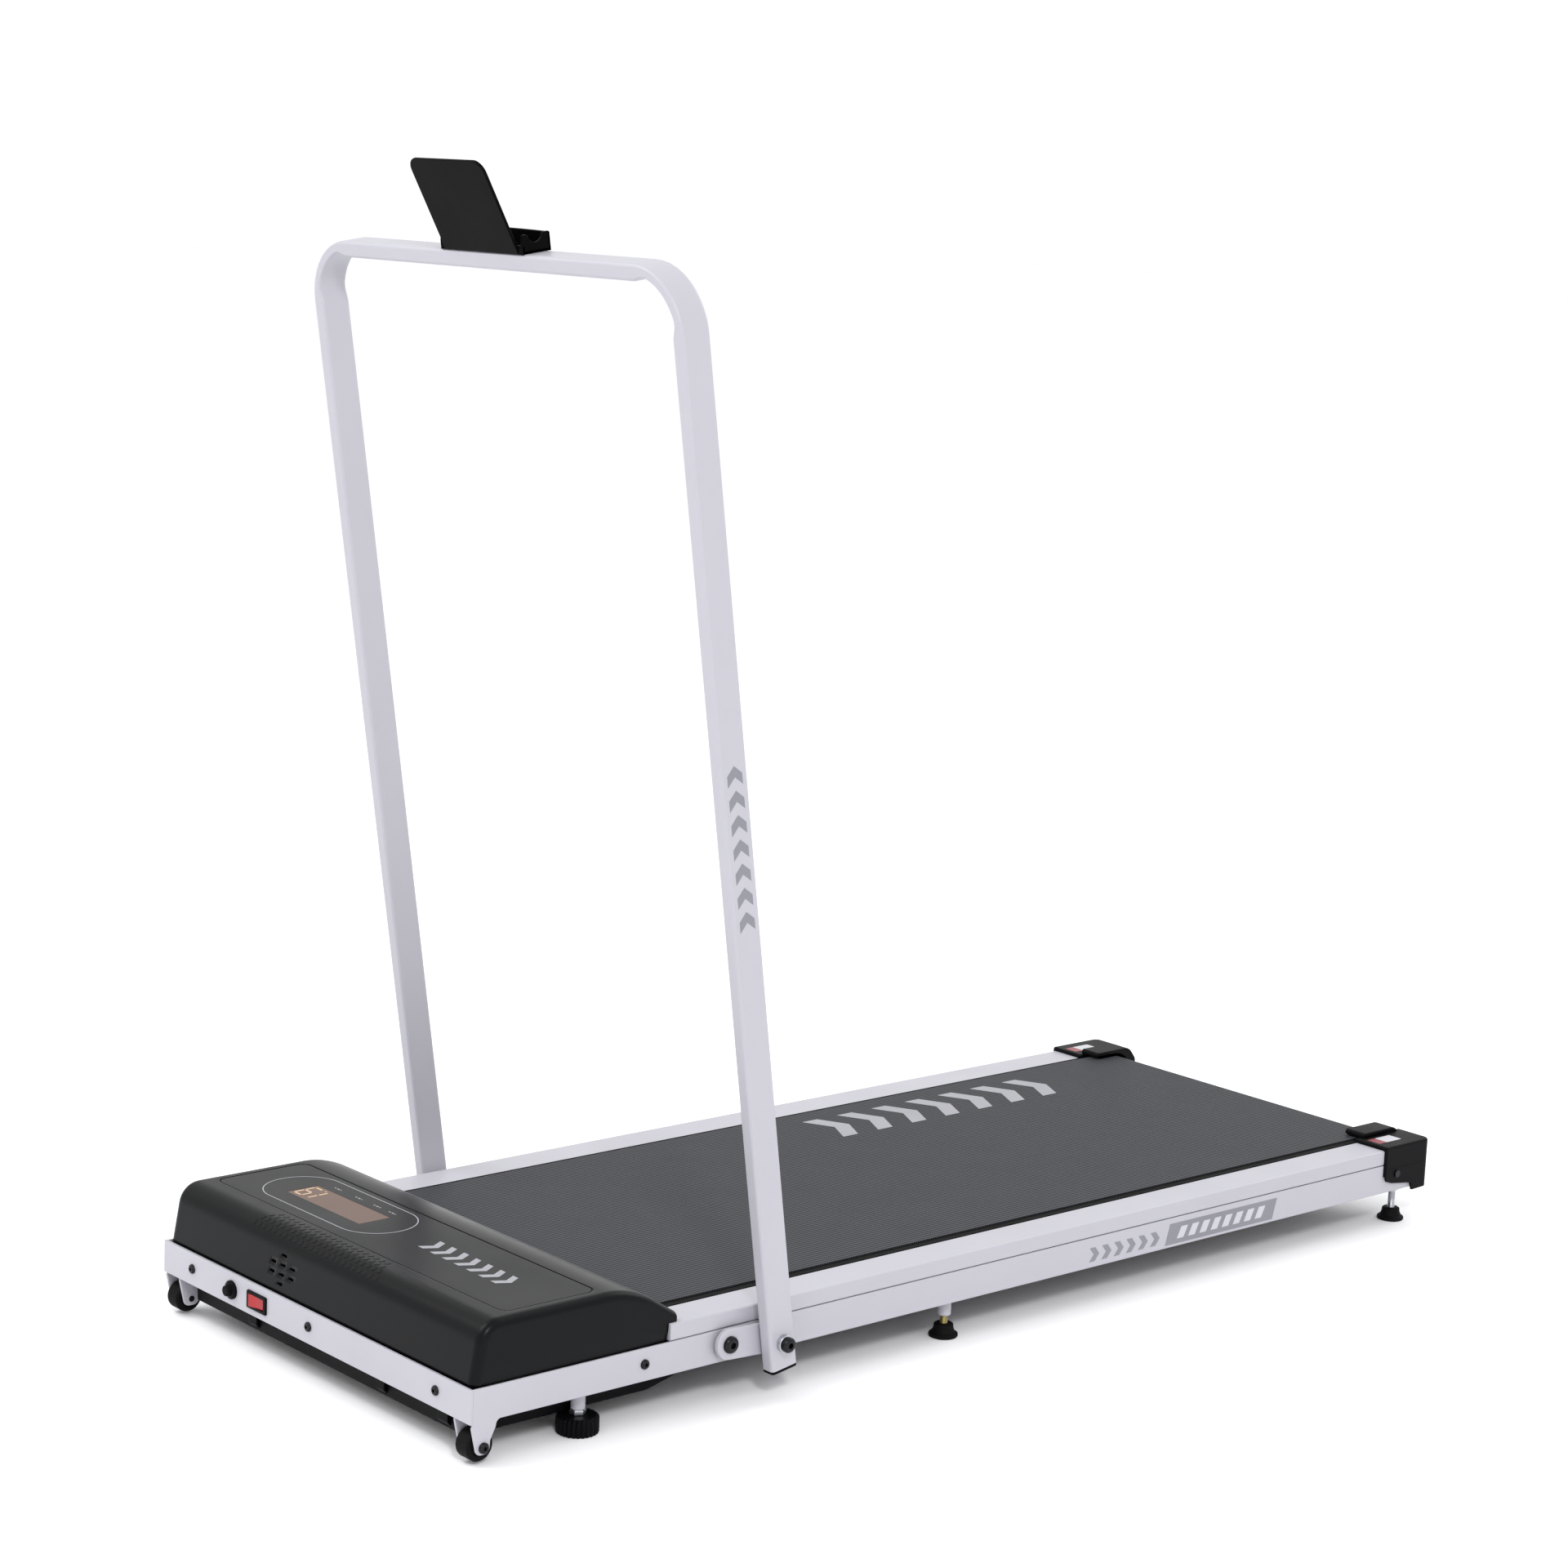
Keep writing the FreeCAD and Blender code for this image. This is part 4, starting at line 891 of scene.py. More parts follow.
@dataclass
class Hood:
    """Motor cover moulded as one shell, with its display panel, and the pan below."""

    half: float = 245.0
    cheek: float = 8.0
    wall: float = 2.5
    panel: tuple[float, float, float, float] = (-231.0, 45.0, 231.0, 146.7)
    vents: tuple[tuple[float, float], ...] = ((-56, 105.2), (-56, 96.5), (-56, 87.8), (-56, 79.1),
                                              (-71.6, 96.5),
                                              (-71.6, 87.8), (-40.4, 96.5), (-40.4, 87.8))
    window: tuple[float, float, float, float] = (-162.5, 81.0, -41.5, 116.0)
    top: float = PANEL_TOP

    def side_line(self) -> tuple[Array, Array, Array]:
        """Side profile of the hood.

        Returns:
            Arc length, (distance back, height) and outward normal at each of many points.
        """
        line = rounded([(3.9, BEAM_TOP + 0.2, 0), (13.8, self.top, 22), (178, self.top, 100), (240, 87.2, 0)],
                       24, closed=False)
        gap = np.linalg.norm(np.diff(line, axis=0), axis=1)
        length = np.concatenate(([0], np.cumsum(gap)))
        fine = np.unique(np.concatenate((length, np.linspace(0, length[-1], 900))))
        spots = np.stack([np.interp(fine, length, line[:, k]) for k in (0, 1)], axis=1)
        slope = np.gradient(spots, fine, axis=0)
        for _ in range(3):
            slope = (np.roll(slope, 1, 0) + slope + np.roll(slope, -1, 0)) / 3
        slope[:4], slope[-4:] = slope[4], slope[-5]
        slope /= np.linalg.norm(slope, axis=1, keepdims=True)
        return fine, spots, np.stack((-slope[:, 1], slope[:, 0]), axis=1)

    def rear_edge(self, x: Array) -> Array:
        """Distance back of the rear edge at each x: straight over the belt, then swept back to the sides."""
        return np.interp(np.abs(x), [172, 183, 199, 217, 230, 245], [203, 206, 213.5, 220.5, 225, 229.5])

    def columns(self) -> Array:
        """Places across the machine where the hood's surface is drawn.

        Returns:
            Rising x, with the exact edges of the panel, the vents and the belt's opening among them.
        """
        places = [np.linspace(-237, 237, 100), np.arange(213, 237, 1.5), -np.arange(213, 237, 1.5),
                  np.arange(168, 213, 3.0), -np.arange(168, 213, 3.0)]
        special = np.array([sign * x for x in (231.0, 172.0, 237.0) for sign in (1, -1)]
                           + [x + shift for x in (-71.6, -56.0, -40.4) for shift in (-4.5, 4.5)])
        others = np.concatenate(places)
        clear = np.abs(others[:, None] - special[None]).min(1) > 0.7
        return np.unique(np.round(np.concatenate((others[clear], special)), 4))

    def surface(self) -> Shell:
        """Grid of the whole outer face.

        Rows run up the front, over the top and down the rear slope, then down the rear lip. Columns run
        from the foot of one side wall, round its cheek, across and down again. A cheek point is moved in
        by r (1 - cos a) along the profile's normal while x grows by r sin a.

        Returns:
            The open outer surface with the vents and the panel's opening left out.
        """
        length, spots, normals = self.side_line()
        flat = self.columns()
        angle = np.radians([15, 30, 45, 60, 75, 90])
        share = np.array([0.08, 0.3, 0.65, 1.0])
        arc_x = 237 + self.cheek * np.sin(angle)
        arc_d = self.cheek * (1 - np.cos(angle))
        x = np.concatenate((np.full(4, -self.half), -arc_x[::-1], flat, arc_x, np.full(4, self.half)))
        depth = np.concatenate((np.full(4, self.cheek), arc_d[::-1], np.zeros(len(flat)), arc_d,
                                np.full(4, self.cheek)))
        fall = np.concatenate((share[::-1], np.zeros(6 + len(flat) + 6), share))

        def at(value: float, k: int) -> float:
            """Arc length where coordinate k first reaches a value."""
            return float(length[np.argmax(spots[:, k] >= value - 1e-6)])

        turn = at(150.0, 0)
        slits = [at(z + shift, 1) for z in (79.1, 87.8, 96.5, 105.2) for shift in (-1.3, 1.3)]
        exact = np.array([*slits, at(45, 0), at(146.7, 0), turn])
        fill = np.concatenate((np.linspace(0, turn, 62), np.arange(at(45, 0) - 4, at(45, 0) + 16, 1.4),
                               np.arange(at(146.7, 0) - 16, at(146.7, 0) + 4, 1.4)))
        fill = fill[(np.abs(fill[:, None] - exact[None]).min(1) > 0.6) & (fill < turn)]
        stations = np.unique(np.round(np.concatenate((fill, exact)), 4))
        rear_y = self.rear_edge(x)
        soft = 3.0 * np.clip((237 - np.abs(x)) / 20, 0, 1)
        order = np.argsort(spots[:, 0])
        rear_s = np.interp(rear_y - soft, spots[order, 0], length[order])
        later = np.linspace(0, 1, 22)[1:, None]
        s = np.vstack((np.repeat(stations[:, None], len(x), 1), turn + later * (rear_s - turn)))
        place = [np.interp(s, length, spots[:, k]) for k in (0, 1)]
        out = [np.interp(s, length, normals[:, k]) for k in (0, 1)]
        y, z = place[0] - out[0] * depth, place[1] - out[1] * depth
        foot = np.where(y > 216.5, 87.4, BEAM_TOP + 0.2)
        foot = np.where((np.abs(x) < 208.2) & (y > 140), 92.0, foot)
        z = np.maximum(z, foot)
        z = z - fall * (z - foot)
        drop = np.array([0.06, 0.2, 0.6, 1.0])[:, None]
        ahead = np.array([0.3, 0.0, 0.0, 0.0])[:, None]
        end_y, end_z, end_foot = y[-1:] + soft, z[-1:] - 0.64 * soft, foot[-1:]
        lip_y = end_y - ahead * soft
        lip_z = end_z - drop * (end_z - end_foot)
        walls = fall > 0
        lip_y[:, walls], lip_z[:, walls] = y[-1, walls], z[-1, walls]
        y, z = np.vstack((y, lip_y)), np.vstack((z, lip_z))
        rows, columns = y.shape
        points = np.stack((np.broadcast_to(x, y.shape), back(y), z), axis=-1).reshape(-1, 3)
        return self.opened(points, grid_quads(rows, columns))

    def opened(self, points: Array, quads: Array) -> Shell:
        """Leaves out the vents and the panel's opening, whose corners are rounded.

        A point on the rim of the opening moves along the gradient of the distance to a rounded
        rectangle, by that distance.

        Args:
            points: points of the outer face.
            quads: its faces.

        Returns:
            The face with its openings.
        """
        middle = points[quads].mean(1)
        front = middle[:, 1] < back(13)
        keep = np.ones(len(quads), bool)
        for x, z in self.vents:
            keep &= ~(front & (np.abs(middle[:, 0] - x) < 4.5) & (np.abs(middle[:, 2] - z) < 1.3))
        low_x, low_y, high_x, high_y = self.panel
        centre = np.array([(low_x + high_x) / 2, back((low_y + high_y) / 2)])
        half = np.array([(high_x - low_x) / 2, (high_y - low_y) / 2])
        radius = 11.0

        def beyond(spots: Array) -> tuple[Array, Array]:
            """Distance outside the rounded opening.

            Args:
                spots: points in plan.

            Returns:
                Distance of each point, below zero inside, and the direction away from the opening.
            """
            away = np.abs(spots - centre) - (half - radius)
            out = np.maximum(away, 0)
            size = np.linalg.norm(out, axis=1)
            inside = np.minimum(away.max(1), 0)
            return size + inside - radius, out * np.sign(spots - centre) / np.maximum(size, 1e-6)[:, None]

        level = np.abs(middle[:, 2] - self.top) < 0.05
        gap, _ = beyond(middle[:, :2])
        inner = level & (gap < 0)
        rim = np.intersect1d(np.unique(quads[inner]), np.unique(quads[~inner]))
        distance, direction = beyond(points[rim, :2])
        points = points.copy()
        points[rim, :2] -= direction * distance[:, None]
        quads = quads[keep & ~inner]
        corner = points[quads]
        area = np.linalg.norm(np.cross(corner[:, 2] - corner[:, 0], corner[:, 3] - corner[:, 1]), axis=1)
        return Shell(points, quads[area > 1e-3])

    def framed(self, outer: Array, inner: Array, low: float, high: float) -> Shell:
        """Flat plate with an opening; both outlines are cut by the same rays from the opening's middle.

        A ray at angle a meets the edge p, q where p + t (q - p) lies along (cos a, sin a).

        Args:
            outer: outline of the plate.
            inner: outline of the opening.
            low: underside.
            high: top.

        Returns:
            The closed plate.
        """
        centre = inner.mean(0)

        def bearings(outline: Array) -> Array:
            """Angle of each point seen from the middle."""
            return np.arctan2(outline[:, 1] - centre[1], outline[:, 0] - centre[0])

        angles = np.unique(np.round(np.concatenate((bearings(outer), bearings(inner))), 5))
        ray = np.stack((np.cos(angles), np.sin(angles)), axis=1)

        def cut(outline: Array) -> Array:
            """Points where the rays meet an outline.

            Args:
                outline: closed outline round the middle.

            Returns:
                One point for each ray.
            """
            order = np.argsort(bearings(outline))
            start = outline[order] - centre
            bearing = bearings(outline)[order]
            index = (np.searchsorted(bearing, angles + 1e-9, side="right") - 1) % len(start)
            edge = np.roll(start, -1, 0)[index] - start[index]
            first = start[index]
            cross = first[:, 0] * edge[:, 1] - first[:, 1] * edge[:, 0]
            return centre + ray * (cross / (ray[:, 0] * edge[:, 1] - ray[:, 1] * edge[:, 0]))[:, None]

        rings = [lay(Axis.Z, cut(outline), level) for outline, level in (
            (outer, low), (outer, high - 0.4), (inset(outer, 0.12), high - 0.12), (inset(outer, 0.4), high),
            (inner, high), (inner, low))]
        return loft(np.stack(rings), wrapped=True)

    def build(self) -> None:
        """Makes the hood, panel, lens, emboss and pan."""
        shell = make_piece("hood", self.surface(), HOOD_ABS, Body.FRAME, ["motor_cover"],
                           crease=50.0, closed=False)
        skin = shell.modifiers.new("wall", "SOLIDIFY")
        skin.thickness = self.wall * MM
        skin.offset = -1.0
        shell.modifiers.move(1, 0)
        low_x, low_y, high_x, high_y = self.panel
        face = rectangle((low_x + 0.9, back(low_y + 0.9)), (high_x - 0.9, back(high_y - 0.9)), 10.1, 10)
        glass = rectangle((self.window[0], back(self.window[1])), (self.window[2], back(self.window[3])),
                          1.2, 3)
        make_piece("panel", self.framed(face, inset(glass, -0.15), self.top - 5, self.top), HOOD_ABS,
                   Body.FRAME,
                   ["display_panel"])
        make_piece("window", slab(Axis.Z, glass, self.top - 3, self.top - 0.15, 0.3), AMBER_ACRYLIC,
                   Body.FRAME,
                   ["display_lens"])
        self.emboss()
        pan = soften("belly_pan", GRAINED_ABS, Body.FRAME, 1.2)
        LOG.info("%s closes the underside", pan.name)
        self.ribs()

    def emboss(self) -> None:
        """Raised hexagons over the nose: each point is profile(s) plus its height along the normal."""
        length, spots, normals = self.side_line()
        start = float(length[np.argmax(spots[:, 0] >= 17.0)])
        parts = []
        corner = np.radians(np.arange(0, 360, 60) + 30)
        pitch = 8.6
        for row in range(4):
            for column in range(24 - row):
                x = -118 + pitch * (column + 0.5 * row)
                s = start + pitch * 0.866 * row
                hexagon = np.stack((x + 3.4 * np.cos(corner), s + 3.4 * np.sin(corner)), axis=1)
                parts.append(slab(Axis.Z, hexagon, -0.2, 0.28, 0.14, 2))
        shell = joined(parts)
        s, height = shell.points[:, 1], shell.points[:, 2]
        y = np.interp(s, length, spots[:, 0]) + np.interp(s, length, normals[:, 0]) * height
        z = np.interp(s, length, spots[:, 1]) + np.interp(s, length, normals[:, 1]) * height
        points = np.stack((shell.points[:, 0], back(y), np.minimum(z, self.top + 0.3)), axis=1)
        make_piece("nose_hexagons", Shell(points, shell.quads, shell.caps), HOOD_ABS, Body.FRAME)

    def ribs(self) -> None:
        """Stiffening lugs along the front of the pan."""
        parts = []
        for x, wide in ((-112, 14), (96, 12), (190, 16)):
            lug = rounded([(back(12.5), 24, 2), (back(17.5), 19, 2), (back(40), 19, 1), (back(40), 39, 0.5),
                           (back(12.5), 39, 0.5)], 4)
            parts.append(slab(Axis.X, lug, x - wide / 2, x + wide / 2, 0.8))
        make_piece("pan_lugs", joined(parts), GRAINED_ABS, Body.FRAME)


# ---------------------------------------------------------------- controls

@dataclass
class Controls:
    """Rocker switch and breaker in the front plate."""

    switch: float = -84.5
    breaker: float = -128.0
    height: float = 55.0

    def build(self) -> None:
        """Makes the switch's frame and lever, and the breaker's nut and button."""
        outer = rectangle((self.switch - 16, self.height - 8.5), (self.switch + 16, self.height + 8.5), 1.6)
        inner = rectangle((self.switch - 12.6, self.height - 6), (self.switch + 12.6, self.height + 6), 0.8)
        steps = [(outer, 0.0), (outer, -1.3), (inset(outer, 0.25), -1.8), (inset(outer, 0.7), -2.0),
                 (inset(inner, -0.4), -2.0), (inner, -1.6), (inner, 9.0), (outer, 9.0)]
        rings = np.stack([lay(Axis.Y, ring, FRONT + level) for ring, level in steps])
        make_piece("switch_frame", loft(rings, wrapped=True), GRAINED_ABS, Body.FRAME,
                   ["switch_bezel"])
        lever = rounded([(-11, -4.9, 0.8), (0, -2.3, 14), (11, -0.95, 0.8), (8, 4, 0.6), (-8, 4, 0.6)], 8)
        lever = lever + np.array([self.switch, back(1)])
        make_piece("switch_lever", slab(Axis.Z, lever, self.height - 5.8, self.height + 5.8, 0.5), RED_ABS,
                   Body.ROCKER, ["switch_rocker"])
        middle = (self.breaker, FRONT, self.height)
        nut = [(5.3, 0, 0.2), (9, 0, 0.2), (9, -2.6, 1.6), (5.3, -4, 0.4)]
        body = [(0, 1, 0), (6, 1, 0), (6, 25, 0.5), (0, 25, 0)]
        make_piece("breaker_nut", joined([turned(Axis.Y, middle, nut, 40, 5, 24, 0.02),
                                          turned(Axis.Y, middle, body, 32)]), GRAINED_ABS, Body.FRAME,
                   ["breaker_body"])
        low, high = node_box("breaker_button")
        stem = [(0, low[1] - FRONT, 0), (5.15, low[1] - FRONT, 1.5), (5.15, high[1] - FRONT, 0.3),
                (0, high[1] - FRONT, 0)]
        make_piece("breaker_cap", turned(Axis.Y, middle, stem, 36, 6), RUBBER, Body.BUTTON,
                   ["breaker_button"])


# ---------------------------------------------------------------- deck

@dataclass
class Deck:
    """Running belt round its rollers, and what it slides on."""

    half: float = 200.0
    radius: float = 21.0
    thick: float = 1.8
    axes: tuple[float, float, float] = (165.0, 1239.0, 66.4)

    def belt(self) -> None:
        """Makes the belt: a flat section carried round both rollers, with its length as map coordinate."""
        first, last, height = self.axes
        middle = self.radius + self.thick / 2
        top = np.linspace(first, last, 60, endpoint=False)
        turn = np.linspace(math.pi / 2, -math.pi / 2, 25)
        over = np.stack((top, np.full(60, height + middle)), axis=1)
        rear = np.stack((last + middle * np.cos(turn), height + middle * np.sin(turn)), axis=1)
        under = np.stack((top[::-1][:-1], np.full(59, height - middle)), axis=1)
        front = np.stack((first - middle * np.cos(turn), height - middle * np.sin(turn)), axis=1)[:-1]
        line = behind(np.vstack((over, rear, under, front)))
        ahead = np.roll(line, -1, 0) - np.roll(line, 1, 0)
        ahead /= np.linalg.norm(ahead, axis=1, keepdims=True)
        zero = np.zeros(len(line))
        path = np.stack((zero, line[:, 0], line[:, 1]), axis=1)
        up = np.stack((zero, -ahead[:, 1], ahead[:, 0]), axis=1)
        across = np.broadcast_to(np.array([1.0, 0.0, 0.0]), up.shape)
        section = rectangle((-self.half, -self.thick / 2), (self.half, self.thick / 2), 0.5, 3)
        sections = np.broadcast_to(section, (len(line), *section.shape))
        shell = sweep(path, across, up, sections, wrapped=True)
        step = np.linalg.norm(np.roll(line, -1, 0) - line, axis=1)
        travel = np.concatenate(([0], np.cumsum(step)))
        count = len(section)
        row = shell.quads // count
        last_row = row.max(1, keepdims=True) == len(line) - 1
        row = np.where(last_row & (row == 0), len(line), row)
        weave = np.stack((travel[row], shell.points[shell.quads][..., 0]), axis=-1).reshape(-1, 2)
        make_piece("belt", shell, WEAVE, Body.FRAME, ["running_belt"], weave=weave)

    def build(self) -> None:
        """Makes the belt and dresses the board, cushions and rollers."""
        self.belt()
        dress("running_deck", BOARD)
        dress("deck_cushions", RUBBER)
        for node in ("front_roller", "rear_roller", "front_roller_axle", "rear_roller_axle"):
            dress(node, TURNED_STEEL)
        for node in ("front_roller_bearings", "rear_roller_bearings"):
            dress(node, ZINC)


@dataclass
class Drive:
    """Motor, pulleys and electronics under the hood."""

    def build(self) -> None:
        """Dresses every drive part with its own material."""
        finishes = {
            "motor_housing": (BLACK_OXIDE, "black_steel"), "motor_rotor": (TURNED_STEEL, "steel"),
            "motor_end_bell": (ALUMINIUM, "aluminium"), "motor_pulley": (TURNED_STEEL, "steel"),
            "front_roller_pulley": (GRAINED_ABS, "black_plastic"), "drive_belt": (RUBBER, "black_rubber"),
            "motor_tray": (WHITE_COAT, "white_steel"), "motor_cradle": (BLACK_OXIDE, "black_steel"),
            "controller_box": (ALUMINIUM, "aluminium"), "controller_board": (CIRCUIT, "circuit"),
            "display_board": (CIRCUIT, "circuit")}
        for node, (finish, slot) in finishes.items():
            dress(node, finish)


# ---------------------------------------------------------------- running gear

@dataclass
class Undercarriage:
    """Transport wheels and screw feet."""

    wheel: tuple[float, float] = (14.4, 17.0)
    rows: tuple[tuple[str, float], ...] = FOOT_ROWS

    def foot(self, row: str, place: tuple[float, float, float]) -> Shell:
        """Foot of one row: a fluted knob in front, a rubber pad with a stepped neck elsewhere.

        Args:
            row: name of the row.
            place: middle of its underside.

        Returns:
            The closed foot.
        """
        if row == "front":
            grip = [(0, 0, 0), (18.6, 0, 1.2), (19.4, 1.6, 0.8), (19.4, 14.8, 1.6), (17, 16.5, 0.8),
                    (9, 16.5, 0.6),
                    (0, 16.5, 0)]
            return turned(Axis.Z, place, grip, 128, 5, 26, 0.07)
        pad = [(0, 0, 0), (13.5, 0, 0.7), (14.2, 1.2, 0.6), (14.2, 3.2, 0.9), (11.2, 5.2, 1.4),
               (9.8, 8.6, 1.2),
               (9.4, 12.3, 0.8), (7.8, 13.4, 0.6), (0, 13.4, 0)]
        return turned(Axis.Z, place, pad, 56, 5)

    def stud(self, low: float, place: tuple[float, float, float]) -> Shell:
        """Threaded stud: its radius swings between crest and root along its height.

        Args:
            low: height of its lower end.
            place: point on the floor below it.

        Returns:
            The closed stud.
        """
        levels = np.linspace(low, 52, int((52 - low) * 2.4))
        crest = 3.95 - 0.32 * (0.5 + 0.5 * np.cos(2 * math.pi * levels / 1.25))
        corners = [(0, low, 0), *[(float(r), float(z), 0) for r, z in zip(crest, levels)], (0, 52, 0)]
        return turned(Axis.Z, place, corners, 24)

    def build(self) -> None:
        """Makes the feet, their nuts, and the wheels with their bolts."""
        nuts, bolts = [], []
        for side in Side:
            way = side.value
            for row, spot in self.rows:
                place = (way * FOOT_X, float(back(spot)), 0.0)
                body = f"{row}_foot_{side.tag}"
                finish = GRAINED_ABS if row == "front" else RUBBER
                make_piece(f"{row}_pad_{side.tag}", self.foot(row, place), finish, body,
                           [body])
                make_piece(f"{row}_stud_{side.tag}", self.stud(13.0, place),
                           YELLOW_ZINC if row == "mid" else ZINC, body)
            corner = np.radians(np.arange(0, 360, 60))
            hexagon = np.stack((way * FOOT_X + 7.4 * np.cos(corner),
                                back(FOOT_ROWS[0][1]) + 7.4 * np.sin(corner)),
                               axis=1)
            nuts.append(slab(Axis.Z, hexagon, 16.7, 21.4, 0.6))
            hub = (0.0, float(back(self.wheel[0])), self.wheel[1])
            low, high = node_box(f"{side.tag}_wheel")
            rim = [(3.2, low[0] + 1.5, 0.3), (8, low[0] + 1.5, 0.6), (9, low[0], 0.6), (12.5, low[0], 1.4),
                   (14, low[0] + 1.5, 1.2), (14, high[0] - 1.5, 1.2), (12.5, high[0], 1.4), (9, high[0], 0.6),
                   (8, high[0] - 1.5, 0.6), (3.2, high[0] - 1.5, 0.3)]
            make_piece(f"tyre_{side.tag}", turned(Axis.X, hub, rim, 56, 4), RUBBER, f"{side.tag}_wheel",
                       [f"{side.tag}_wheel"])
            seat = (way * HALF, hub[1], hub[2])
            bolts.append(socket_screw(Axis.X, seat, way, 5.0, 3.0))
            shank = [(0, way * 221.0, 0), (3.0, way * 221.0, 0.3), (3.0, way * HALF, 0), (0, way * HALF, 0)]
            bolts.append(turned(Axis.X, hub, shank, 24))
        make_piece("lock_nuts", joined(nuts), ZINC, Body.FRAME, ["foot_lock_nuts"])
        make_piece("axle_bolts", joined(bolts), BLACK_OXIDE, Body.FRAME, ["wheel_bolts"])


# ---------------------------------------------------------------- handrail

@dataclass
class Handrail:
    """Bent hoop of flat-sided tube on its hinges."""

    half: float = 275.0
    wide: float = 15.3
    deep: float = 30.0
    below: float = 24.5
    above: float = 972.5
    bend: float = 62.0
    crush: float = 0.46

    def hoop(self) -> Shell:
        """Tube carried along the hoop; in the bends its inner wall is pressed towards the outer one.

        At a share b of the bend the inward coordinate is multiplied by 1 - c b (0.8 + 0.2 cos(pi v / deep)).

        Returns:
            The closed tube, leaning as it stands.
        """
        corners = [(self.half, -self.below, 0), (self.half, self.above, self.bend),
                   (-self.half, self.above, self.bend), (-self.half, -self.below, 0)]
        line = rounded(corners, 26, closed=False)
        runs = [line[0] + (line[1] - line[0]) * share for share in np.linspace(0, 1, 24)[:-1, None]]
        mid = len(line) // 2
        level = [line[mid - 1] + (line[mid] - line[mid - 1]) * share for share in np.linspace(0, 1, 24)[1:-1,
                                                                                                        None]]
        ends = [line[-2] + (line[-1] - line[-2]) * share for share in np.linspace(0, 1, 24)[1:, None]]
        line = np.vstack((*runs, line[1:mid], *level, line[mid:-1], *ends))
        ahead = np.gradient(line, axis=0)
        ahead /= np.linalg.norm(ahead, axis=1, keepdims=True)
        out = np.stack((ahead[:, 1], -ahead[:, 0]), axis=1)
        near = np.hypot(np.maximum(np.abs(line[:, 0]) - (self.half - self.bend), 0),
                        np.maximum(line[:, 1] - (self.above - self.bend), 0))
        straight = np.minimum(np.clip((np.abs(line[:, 0]) - (self.half - self.bend)) / 20, 0, 1),
                              np.clip((line[:, 1] - (self.above - self.bend)) / 20, 0, 1))
        share = np.where(near > 0, straight * straight * (3 - 2 * straight), 0.0)
        section = rectangle((-self.wide, -self.deep / 2), (0, self.deep / 2), 3.5, 5)
        press = 1 - self.crush * share[:,
                                       None] * (0.8 + 0.2 * np.cos(math.pi * section[None, :, 1] / self.deep))
        sections = np.stack((section[None, :, 0] * press, np.broadcast_to(section[:, 1], press.shape)),
                            axis=-1)
        zero = np.zeros(len(line))
        path = np.stack((line[:, 0], zero, line[:, 1]), axis=1)
        side = np.stack((out[:, 0], zero, out[:, 1]), axis=1)
        up = np.broadcast_to(np.array([0.0, 1.0, 0.0]), side.shape)
        return sweep(path, side, up, sections).moved(leaned)

    def build(self) -> None:
        """Makes the hoop, plugs, hinges and their screws."""
        pins, plugs, spacers, sleeves, pivots, bolts = [], [], [], [], [], []
        tilt = math.radians(-3.0)
        fore = (PIVOT[1] - 47.3 * math.cos(tilt), PIVOT[2] - 47.3 * math.sin(tilt))
        for side in Side:
            way = side.value
            low, high = sorted((way * 253.2, way * 260.2))
            pin = [(0, low, 0), (2.5, low, 0.4), (2.5, high, 0.1), (0, high, 0)]
            pins.append(turned(Axis.X, (0, -1.3, 18.1), pin, 24).moved(leaned))
            low, high = sorted((way * (self.half - self.wide), way * self.half))
            lid = rectangle((low, -self.deep / 2), (high, self.deep / 2), 3.4)
            plugs.append(slab(Axis.Z, lid, -self.below - 3, -self.below, 0.9).moved(leaned))
            turn = np.radians(np.linspace(90, 270, 19))
            ends = [np.stack((np.cos(turn) * 14.5 - 47.3, np.sin(turn) * 14.5), axis=1),
                    np.stack((-np.cos(turn) * 14.5, -np.sin(turn) * 14.5), axis=1)]
            bar = np.vstack(ends)
            bar = np.stack((bar[:, 0] * math.cos(tilt) - bar[:, 1] * math.sin(tilt),
                            bar[:, 0] * math.sin(tilt) + bar[:, 1] * math.cos(tilt)), axis=1) + PIVOT[1:]
            low, high = sorted((way * 252.0, way * 257.0))
            make_piece(f"hinge_bar_{side.tag}", slab(Axis.X, bar, low, high, 0.9, 4), WHITE_COAT, Body.FRAME,
                       [f"hinge_bracket_{side.tag}"])
            for spot in (tuple(PIVOT[1:]), fore):
                ring = [(4.2, way * HALF, 0), (8, way * HALF, 0.3), (8, way * 252, 0.3), (4.2, way * 252, 0)]
                spacers.append(turned(Axis.X, (0, *spot), ring, 36))
            collar = [(4.2, way * 257, 0), (11, way * 257, 0.4), (11, way * 259.4, 0.5), (8, way * 259.4, 0),
                      (8, way * 280, 0.8), (4.2, way * 280, 0)]
            sleeves.append(turned(Axis.X, (0, *PIVOT[1:]), collar, 44))
            pivots.append(socket_screw(Axis.X, (way * 280, *PIVOT[1:]), way, 7.2, 6.0, 0.45))
            bolts.append(socket_screw(Axis.X, (way * 257, *fore), way, 8.0, 4.5, 0.75))
            corner = np.radians(np.arange(0, 360, 60))
            for spot, group in ((tuple(PIVOT[1:]), pivots), (fore, bolts)):
                hexagon = np.stack((spot[0] + 6.5 * np.cos(corner), spot[1] + 6.5 * np.sin(corner)), axis=1)
                low, high = sorted((way * (HALF - 9), way * (HALF - 2.5)))
                group.append(slab(Axis.X, hexagon, low, high, 0.5))
        make_piece("hoop", joined([self.hoop(), *pins]), WHITE_COAT, Body.HANDRAIL,
                   ["handrail"],
                   crease=60.0)
